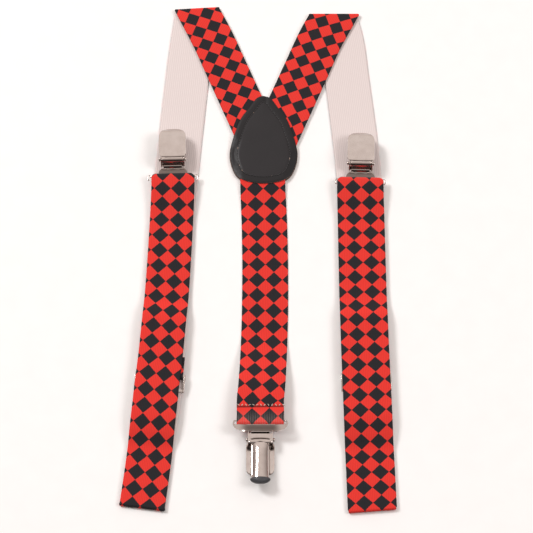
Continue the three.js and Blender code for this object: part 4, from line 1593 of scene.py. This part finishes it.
# ------------------------------------------------------------------ clips
@dataclass
class Clip:
    """A lever clip. Local axes: bail bar on X, jaws towards +Y, lever side up."""

    name: str
    place: tuple[float, float, float]
    turn: float = 0.0
    upside_down: bool = False
    tip: float = 41.0  # end of both jaws, from the bail
    lever_tip: float = 39.5
    lens: float = 20.2  # half width of the shoulder

    def matrix(self) -> Matrix:
        """From the clip's own axes to the drawing's.

        Returns:
            The matrix.
        """
        made = Matrix.Translation(self.place) @ Matrix.Rotation(math.radians(self.turn), 4, "Z")
        if self.upside_down:
            made = made @ Matrix.Rotation(math.pi, 4, "X")
        return made

    def drawn(self, y: np.ndarray | float, x: np.ndarray | float = 0.0) -> np.ndarray | float:
        """Height of the shoulder: it rolls away from the bail, towards the tongue side.

        Args:
            y: distance from the bail.
            x: distance from the middle.

        Returns:
            The height.
        """
        rise = 0.6 * np.clip((y - 1.4) / 6.8, 0, 1) + 0.4 * smooth(y, 1.4, 8.2)
        rise = rise * (1 - 0.75 * smooth(np.abs(x), 9.0, 17.0))
        return -2.65 * (1 - rise)

    def shell(self) -> Body:
        """Pressed shell: rolled shoulder, slotted neck, two ears, half-round tongue and bail.

        Returns:
            The shell.
        """
        body = Body()
        right = [(NECK_HALF, 5.6), (NECK_HALF, 7.0), (NECK_HALF, 15.0), (8.6, 16.4)]
        outline = mirrored(chaikin([(0.0, 5.6), *right, (0.0, 16.6)], 2)[1:-1])
        slot = mirrored(chaikin([(0.01, 7.0), (7.9, 7.0), (8.7, 7.3), (8.7, 8.9), (7.9, 9.2),
                                 (0.01, 9.2)], 2))
        crescent = mirrored(chaikin([(0.01, 12.4), (5.0, 12.6), (8.2, 13.5), (5.0, 14.4), (0.01, 14.8)], 2))
        bend = lambda x, y: (float(self.drawn(y)) + 0.12 * (y < 7.2)
                             - 0.5 * math.exp(-((y - 15.6) / 1.3) ** 2) * max(0.0, 1 - (x / 9.4) ** 2))
        body.take(*pressed(outline, [slot, crescent], SHEET, 1.2, 0.25, bend))
        self.shoulder(body)
        self.bail(body)
        self.ears(body)
        self.tongue(body)
        return body

    def shoulder(self, body: Body) -> None:
        """Lens-shaped shoulder, as wide as the strap, rolled over the strap's fold.

        Args:
            body: what it is added to.
        """
        half = 20.2
        x = np.concatenate([np.linspace(-half, -17.5, 9), np.linspace(-17, 17, 45),
                            np.linspace(17.5, half, 9)])
        wide = self.lens / half
        low = np.interp(np.abs(x), [0, 9.4, 12.0, 15.0, 18.0, 19.4, 20.0, half],
                        [6.9, 6.9, 7.6, 7.1, 6.1, 4.9, 3.9, 3.0])
        high = np.interp(np.abs(x), [0, 18.6, 19.8, half], [2.6, 2.6, 2.65, 2.75])
        t = np.linspace(0, 1, 12)[:, None]
        y = high + (low - high) * t
        grid = np.stack([np.broadcast_to(x * wide, y.shape), y, self.drawn(y, x * wide)], axis=2)
        body.take(*slab(grid, 0.75)[:2])

    def bail(self, body: Body) -> None:
        """Bail bar, with its ends curled round beside the strap to the shoulder.

        Args:
            body: what it is added to.
        """
        body.take(*tube(np.array([(x, 0.0, 0.0) for x in np.linspace(-BAIL_HALF, BAIL_HALF, 9)]), BAIL_R))
        curl = [(16.4, 0.0, 0.0), (18.6, -1.2, 0.0), (19.7, -1.2, -0.4), (20.3, 0.6, -1.2),
                (20.3, 2.6, -2.0), (19.4, 4.2, -2.3), (18.0, 4.4, -2.2)]
        wire = 0.55
        if self.lens < BAIL_HALF:
            # Only the wire's ends show, past the strap's edges.
            curl = [(16.6, 0.0, 0.0), (18.6, 1.5, -0.2), (19.6, 0.2, -0.4), (19.6, -2.2, -0.4),
                    (19.3, -3.1, -0.5), (18.8, -2.8, -0.6)]
            wire = 0.4
        for side in (1, -1):
            body.take(*tube(chaikin(curl, 3) * [side, 1, 1], wire))

    def ears(self, body: Body) -> None:
        """Two upright ears with the pin's holes.

        Args:
            body: what it is added to.
        """
        arc = [(PIN_Y + EAR_R * math.cos(a), PIN_Z + EAR_R * math.sin(a))
               for a in np.linspace(math.pi, 0, 15)]
        outline = np.array([(8.3, -0.4), (9.0, 1.2), *arc, (15.0, 1.2), (15.8, -0.4)])
        hole = np.array([(PIN_Y + PIN_HOLE_R * math.cos(a), PIN_Z + PIN_HOLE_R * math.sin(a))
                         for a in np.linspace(0, math.tau, 20, endpoint=False)])
        for x in (EAR_X, -EAR_X):
            points, faces = pressed(outline, [hole], SHEET, 40.0, 0.22)
            body.take(points[:, [2, 0, 1]] + [x, 0, 0], faces)

    def tongue(self, body: Body) -> None:
        """Half-round tongue, drawn down from a lip at its root.

        Args:
            body: what it is added to.
        """
        y = np.concatenate([np.linspace(15.4, 21, 12), np.linspace(22, self.tip - 0.4, 22)])
        scale = np.interp(y, [15.4, 18, 21, 30, self.tip - 5, self.tip], [1.16, 1.05, 1.0, 1.0, 1.04, 1.16])
        inset = np.interp(y, [15.4, 16.5, 18, 21, 32], [2.6, 1.5, 0.8, 0.2, 0.0])
        angle = np.linspace(-TONGUE_ANGLE, TONGUE_ANGLE, 29)
        radius = TONGUE_R - SHEET * 0.4
        centre = TONGUE_R - TONGUE_DROP
        x = radius * np.sin(angle)[None] * scale[:, None]
        z = centre - radius * np.cos(angle)[None] + inset[:, None] * np.cos(angle)[None]
        grid = np.stack([x, np.broadcast_to(y[:, None], x.shape), z], axis=2)
        body.take(*slab(grid, SHEET * 0.8)[:2])
        lip = np.array([(t, 15.7 + 0.7 * (1 - (t / 8.4) ** 2), -0.55 - 0.45 * (1 - (t / 8.4) ** 2))
                        for t in np.linspace(-8.4, 8.4, 19)])
        body.take(*tube(lip, 0.85))

    def sheet_rows(self, rows: np.ndarray, crown: float) -> np.ndarray:
        """Grid across a sheet whose rows give distance, height and half width.

        Args:
            rows: the rows, from the pin outwards.
            crown: how far the sheet's long edges are turned down.

        Returns:
            Grid of points.
        """
        rows = spaced(catmull(rows, fine=8), 0.6)
        x = rows[:, 2:3] * np.linspace(-1, 1, 27)[None]
        grown = smooth(rows[:, 0:1], 13.0, 18.0)
        z = rows[:, 1:2] - crown * grown * (np.abs(x) / LEVER_HALF) ** 3
        # The plate's near edge bows towards the bail.
        y = rows[:, 0:1] - crown * 0.9 * (1 - grown) * (1 - (x / 9.0) ** 2)
        return np.stack([x, y, z], axis=2)

    def lever(self) -> Body:
        """Lever: a sheet rolled round the pin and drawn out to a wide thumb plate.

        Returns:
            The lever.
        """
        turn = np.radians(np.linspace(-60, -282, 34))
        radius = ROLL_R - 0.4
        roll = [(PIN_Y + radius * math.cos(a), PIN_Z + radius * math.sin(a), 7.9) for a in turn]
        body = Body()
        body.take(*slab(self.sheet_rows(np.array(roll), 0.0), 0.8)[:2])
        end = self.lever_tip
        plate = [(13.6, 7.7, 8.4), (13.9, 7.95, 9.6), (14.8, 8.0, 10.2), (16.4, 8.0, LEVER_HALF),
                 (22.0, 7.9, LEVER_HALF), (28.0, 7.5, LEVER_HALF), (end - 6.5, 6.9, 10.3),
                 (end - 4.0, 6.3, 9.7),
                 (end - 2.2, 5.5, 8.3), (end - 1.0, 4.7, 6.5), (end - 0.3, 4.1, 4.2), (end, 3.8, 1.6)]
        body.take(*slab(self.sheet_rows(np.array(plate), 0.4), 0.8)[:2])
        body.take(*lathe([(-7.75, 1.3), (-7.75, 2.0), (7.75, 2.0), (7.75, 1.3)], PIN_Y, PIN_Z))
        return body

    def pin(self) -> Body:
        """Pin with two domed heads.

        Returns:
            The pin.
        """
        head = [(9.6, 1.0), (9.75, 1.45), (10.1, 1.62), (10.6, 1.5), (10.95, 1.05), (11.1, 0.4)]
        profile = [(-x, r) for x, r in head[::-1]] + head
        body = Body()
        body.take(*lathe(profile, PIN_Y, PIN_Z))
        return body

    def jaw(self) -> Body:
        """Moving jaw: a channelled plate with a hook through the shell's slot.

        Returns:
            The jaw.
        """
        end = self.tip
        rows = np.array([(7.9, -1.4, 6.6), (7.7, -0.6, 6.9), (7.8, 0.8, 7.2),
                         (8.6, 1.35, 7.2), (10.6, 1.4, 7.1),
                         (12.6, 1.4, 6.4), (28, 1.45, 6.4), (end - 5, 1.5, 6.3), (end - 2, 1.5, 5.6),
                         (end - 0.6, 1.4, 4.3), (end, 1.3, 2.2)])
        rows = spaced(catmull(rows, fine=8), 0.9)
        f = np.linspace(-1, 1, 17)
        x = rows[:, 2:3] * f[None]
        lift = 0.5 * smooth(rows[:, 0], 11, 14)[:, None] * np.abs(f)[None] ** 6
        grid = np.stack([x, np.broadcast_to(rows[:, 0:1], x.shape), rows[:, 1:2] + lift], axis=2)
        body = Body()
        body.take(*slab(grid, 0.7)[:2])
        return body

    def grip_section(self, y: float, radius: float, top: float) -> np.ndarray:
        """Section of the fixed grip: round below, to fit the tongue, and flat on top.

        Args:
            y: distance of the section from the bail.
            radius: radius of its round side.
            top: height of its flat side.

        Returns:
            Its outline.
        """
        centre = TONGUE_R - TONGUE_DROP
        reach = math.acos((centre - top) / radius)
        angles = np.linspace(-reach, reach, 25)
        return np.stack([radius * np.sin(angles), np.full(25, y), centre - radius * np.cos(angles)], axis=1)

    def grips(self) -> tuple[Body, Body]:
        """Grip in the tongue, and the ribbed grip under the moving jaw.

        Returns:
            The fixed grip and the moving one.
        """
        inside = TONGUE_R - SHEET * 0.8 - GAP
        end = self.tip
        fixed = Body()
        fixed.take(*loft([self.grip_section(y, inside, -0.2) for y in (end - 15, end)], 0.15))
        # The cap past the tongue: distance from the tip, share of the width, and swell.
        cap = [(-2.6, 1.0, -0.4), (0.1, 0.9, -0.4)]
        if self.upside_down:
            cap = [(-2.6, 1.1, 0.12), (-1.8, 1.17, 0.45), (-0.6, 1.12, 0.5), (0.4, 1.0, 0.45),
                   (1.2, 0.83, 0.3), (1.8, 0.62, 0.05), (2.2, 0.4, -0.3)]
        fixed.take(*loft([self.grip_section(end + y, TONGUE_R + swell, -0.3) * [wide, 1.0, 1.0]
                          for y, wide, swell in cap], 0.12))
        moving = Body()
        moving.take(*bar((-5.8, end - 14, 0.35), (5.8, end - 0.6, 1.15), 0.2))
        for y in np.arange(end - 13.6, end - 1.0, 1.55):
            moving.take(*bar((-5.6, y, -0.02), (5.6, y + 0.8, 0.6), 0.16))
        return fixed, moving

    def build(self) -> None:
        """Make the clip's six pieces and hang each on its body."""
        matrix = self.matrix()
        fixed, moving = self.grips()
        pieces = (
            ("shell", self.shell(), Finish.NICKEL, "clip", "nickel"),
            ("pin", self.pin(), Finish.NICKEL, "clip", "nickel"),
            ("lever", self.lever(), Finish.NICKEL, "lever", "nickel"),
            ("jaw", self.jaw(), Finish.NICKEL, "jaw", "nickel"),
            ("grip_fixed", fixed, Finish.GRIP, "clip", "grip"),
            ("grip_moving", moving, Finish.GRIP, "jaw", "grip"),
        )
        for part, body, finish, mover, slot in pieces:
            made = body.place(matrix).build(f"{self.name}_{part}_piece", finish)
            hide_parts(f"{self.name}_clip_{part}")
            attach(made, f"{self.name}_{mover}")


# ------------------------------------------------------------------ adjusters
@dataclass
class Adjuster:
    """Slide adjuster: a two-cheeked frame with a toothed flap."""

    name: str
    place: tuple[float, float]
    turn: float

    def frame(self) -> Body:
        """Cheeks, grip bar and strap bar.

        Returns:
            The frame.
        """
        body = Body()
        outline = np.array([(-7, 2.8), (-7, 4.2), (2.6, 5.6), (7.2, 5.5), (7.2, 0.1),
                            (3.8, 0.15), (3.2, 2.75)])
        hole = np.array([(HINGE_Y + 0.7 * math.cos(a), HINGE_Z + 0.7 * math.sin(a))
                         for a in np.linspace(0.1, math.tau + 0.1, 14, endpoint=False)])
        for x in (ADJUSTER_HALF - CHEEK / 2, CHEEK / 2 - ADJUSTER_HALF):
            points, faces = pressed(outline, [hole], CHEEK, 40.0, 0.25)
            body.take(points[:, [2, 0, 1]] + [x, 0, 0], faces)
        inner = ADJUSTER_HALF - CHEEK / 2
        body.take(*bar((-inner, -6.8, 3.2), (inner, -4.4, 4.0), 0.25))
        body.take(*bar((-inner, BAR_Y - 0.35, BAR_Z - 0.35), (inner, BAR_Y + 1.6, BAR_Z + 0.35), 0.25))
        return body

    def flap(self) -> Body:
        """Flap with its trunnions, lugs and teeth.

        Returns:
            The flap.
        """
        half = ADJUSTER_HALF - CHEEK - GAP
        body = Body()
        body.take(*bar((-half, -6.4, 0.05), (half, HINGE_Y + 0.4, 0.85), 0.2))
        for side in (-1, 1):
            x = side * (half + 0.45)
            body.take(*lathe([(x - 0.65, 0.42), (x - 0.55, HINGE_R), (x + 0.55, HINGE_R), (x + 0.65, 0.42)],
                             HINGE_Y, HINGE_Z, 20))
            lug = side * (half - 1)
            body.take(*bar((lug - 1, HINGE_Y - 1, 0.4), (lug + 1, HINGE_Y + 0.45, 1.45), 0.18))
        for x in np.linspace(-half + 1.6, half - 1.6, 12):
            points, faces = loft([np.array([(x + 0.7 * s * c, -5.2 + 0.7 * s * d, z) for c, d in
                                            ((1, 1), (-1, 1), (-1, -1), (1, -1))])
                                  for s, z in ((1.0, 0.6), (0.7, 1.1), (0.15, 1.7))])
            body.take(points, faces)
        return body

    def build(self) -> None:
        """Make both pieces."""
        matrix = Matrix.Translation((*self.place, 0)) @ Matrix.Rotation(math.radians(self.turn), 4, "Z")
        for part, body, mover in (("frame", self.frame(), "adjuster"), ("flap", self.flap(), "flap")):
            made = body.place(matrix).build(f"{self.name}_adjuster_{part}_piece", Finish.NICKEL)
            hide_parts(f"{self.name}_adjuster_{part}")
            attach(made, f"{self.name}_{mover}")


# ------------------------------------------------------------------ studio
@dataclass
class Studio:
    """Pale floor, soft light from the upper left, and the camera."""

    tilt: float = 24.0  # camera's angle from straight down, degrees
    distance: float = 1.859
    lens: float = 161.6

    def floor(self) -> None:
        """Floor with its surface just under the object."""
        edge = 6.0
        mesh = bpy.data.meshes.new("studio_floor")
        under = -0.2 * MM
        corners = [(-edge, -edge, under), (edge, -edge, under), (edge, edge, under), (-edge, edge, under)]
        mesh.from_pydata(corners, [], [(0, 1, 2, 3)])
        mesh.materials.append(Finish.PAPER.material())
        floor = bpy.data.objects.new("studio_floor", mesh)
        bpy.context.scene.collection.objects.link(floor)

    def camera(self) -> None:
        """Camera over the object's near side."""
        target = Vector((float(SHIFT[0]) * MM, float(SHIFT[1]) * MM, 0.0))
        lean = math.radians(self.tilt)
        data = bpy.data.cameras.new("camera")
        data.sensor_width = 36.0
        data.lens = self.lens
        made = bpy.data.objects.new("camera", data)
        made.location = target + Vector((0.0, -math.sin(lean), math.cos(lean))) * self.distance
        made.rotation_euler = (lean, 0.0, 0.0)
        bpy.context.scene.collection.objects.link(made)
        bpy.context.scene.camera = made

    def lights(self) -> None:
        """A large soft light at the upper left and a weaker one at the right."""
        for name, place, size, power in (
            ("key_light", (-1.5, 0.9, 1.9), 0.7, 38.0),
            ("fill_light", (1.6, -0.3, 1.7), 0.9, 18.0),
        ):
            data = bpy.data.lights.new(name, "AREA")
            data.size = size
            data.energy = power
            made = bpy.data.objects.new(name, data)
            made.location = place
            aim = Vector((0, 0, 0)) - Vector(place)
            made.rotation_euler = aim.to_track_quat("-Z", "Y").to_euler()
            bpy.context.scene.collection.objects.link(made)

    def world(self) -> None:
        """Walls and ceiling: pale behind the object, darker in front of it."""
        world = bpy.data.worlds.new("studio")
        world.use_nodes = True
        tree = world.node_tree
        place = add(tree, "ShaderNodeTexCoord").outputs["Generated"]
        part = add(tree, "ShaderNodeSeparateXYZ", None, {0: place})
        up = math_node(tree, "MULTIPLY_ADD", part.outputs[2], 0.5, 0.1)
        level = math_node(tree, "MULTIPLY_ADD", part.outputs[1], 0.6, up)
        tone = ramp(tree, level, [(0.0, "2E2826"), (0.2, "6E6460"), (0.35, "968B86"), (0.84, "EEE4DF"),
                                  (1.0, "F5EFEC")])
        background = tree.nodes["Background"]
        tree.links.new(tone, background.inputs["Color"])
        background.inputs["Strength"].default_value = 1.2
        bpy.context.scene.world = world

    def build(self) -> None:
        """Make the studio, with colours shown as they are."""
        bpy.context.scene.view_settings.view_transform = "Standard"
        self.camera()
        self.floor()
        self.lights()
        self.world()


# ------------------------------------------------------------------ assembly
LEFT = FrontStrap(
    name="left", side=-1, width=33.4, inner_width=34.0, arm_x=-22.7, top_fold=(-56.5, 228.0, 3.7),
    inner=((-58.9, 210), (-61.9, 185), (-63.8, 164), (-66.2, 137), (-68.5, 111), (-70.9, 82),
           (-72.6, 55), (-76.0, 5), (-78.0, -45)),
    adjuster=(-81.0, -98.0, -4.8), inner_end=((-86.4, -143), (-88.6, -166)),
    bottom_fold=(-92.3, -195.8, -7.5),
    outer=((-88.2, -160), (-86.2, -138), (-84.4, -118), (-82.7, -98), (-80.7, -78), (-79.2, -58),
           (-77.2, -30), (-75.5, 5), (-74.2, 40)),
    clip=(-73.7, 75.4, 1.5), arm_phase=-8.0, arm_slip=0.6, outer_phase=4.5,
    print_rate=0.992, slip=1.3)
RIGHT = FrontStrap(
    name="right", side=1, width=36.0, inner_width=35.0, arm_x=22.9, top_fold=(54.9, 222.8, 0.0),
    inner=((59.4, 208), (62.3, 190), (64.2, 170), (65.9, 154), (67.7, 137), (70.8, 106), (73.0, 77),
           (73.8, 50), (74.2, 5), (74.8, -45)),
    adjuster=(75.8, -98.0, 1.2), inner_end=((77.0, -143), (77.6, -166)),
    bottom_fold=(78.6, -198.2, 4.5),
    outer=((77.5, -160), (76.8, -138), (76.3, -118), (75.8, -98), (75.3, -78), (74.9, -58), (74.5, -30),
           (74.2, 5), (74.0, 40)),
    clip=(73.9, 71.9, -1.5), arm_slip=-1.0, outer_phase=0.4, print_rate=1.015,
    print_gain=1.31e-4, slip=-1.0)


def seam_row(back: BackStrap) -> bpy.types.Object:
    """Zigzag seam across the back strap, above the clip.

    Args:
        back: the back strap.

    Returns:
        The finished piece.
    """
    x = -4.2  # the strap's middle at the seam
    half = back.width / 2 - 0.6  # the row stops short of the selvedges
    z = 9.75 + WEB / 2  # about the strap's upper face there
    line = np.array([(x + t, back.seam_y, z) for t in np.linspace(-half, half, 12)])
    made = Seam("back_seam_stitches", line, Finish.PALE_THREAD, pitch=2.7, length=2.3, lift=0.3,
                radius=0.33, zigzag=0.8, jitter=0.35, seed=7).build()
    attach(made, "straps")
    return made


def main() -> None:
    """Build the suspenders and the studio."""
    logging.basicConfig(level=logging.INFO, format="%(name)s: %(message)s")
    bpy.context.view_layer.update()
    Studio().build()
    for strap in (LEFT, RIGHT):
        strap.build()
    back = BackStrap()
    back.build()
    seam_row(back)
    Patch().build()
    Clip("back", (*back.clip, BAIL_Z["back"]), upside_down=True, tip=46.6, lever_tip=41.5).build()
    for strap in (LEFT, RIGHT):
        x, y, turn = strap.clip
        Clip(strap.name, (x, y, BAIL_Z["front"]), turn, tip=40.4, lens=11.5).build()
        Adjuster(strap.name, strap.adjuster[:2], strap.adjuster[2]).build()
    bpy.context.view_layer.update()


if __name__ == "__main__":
    main()
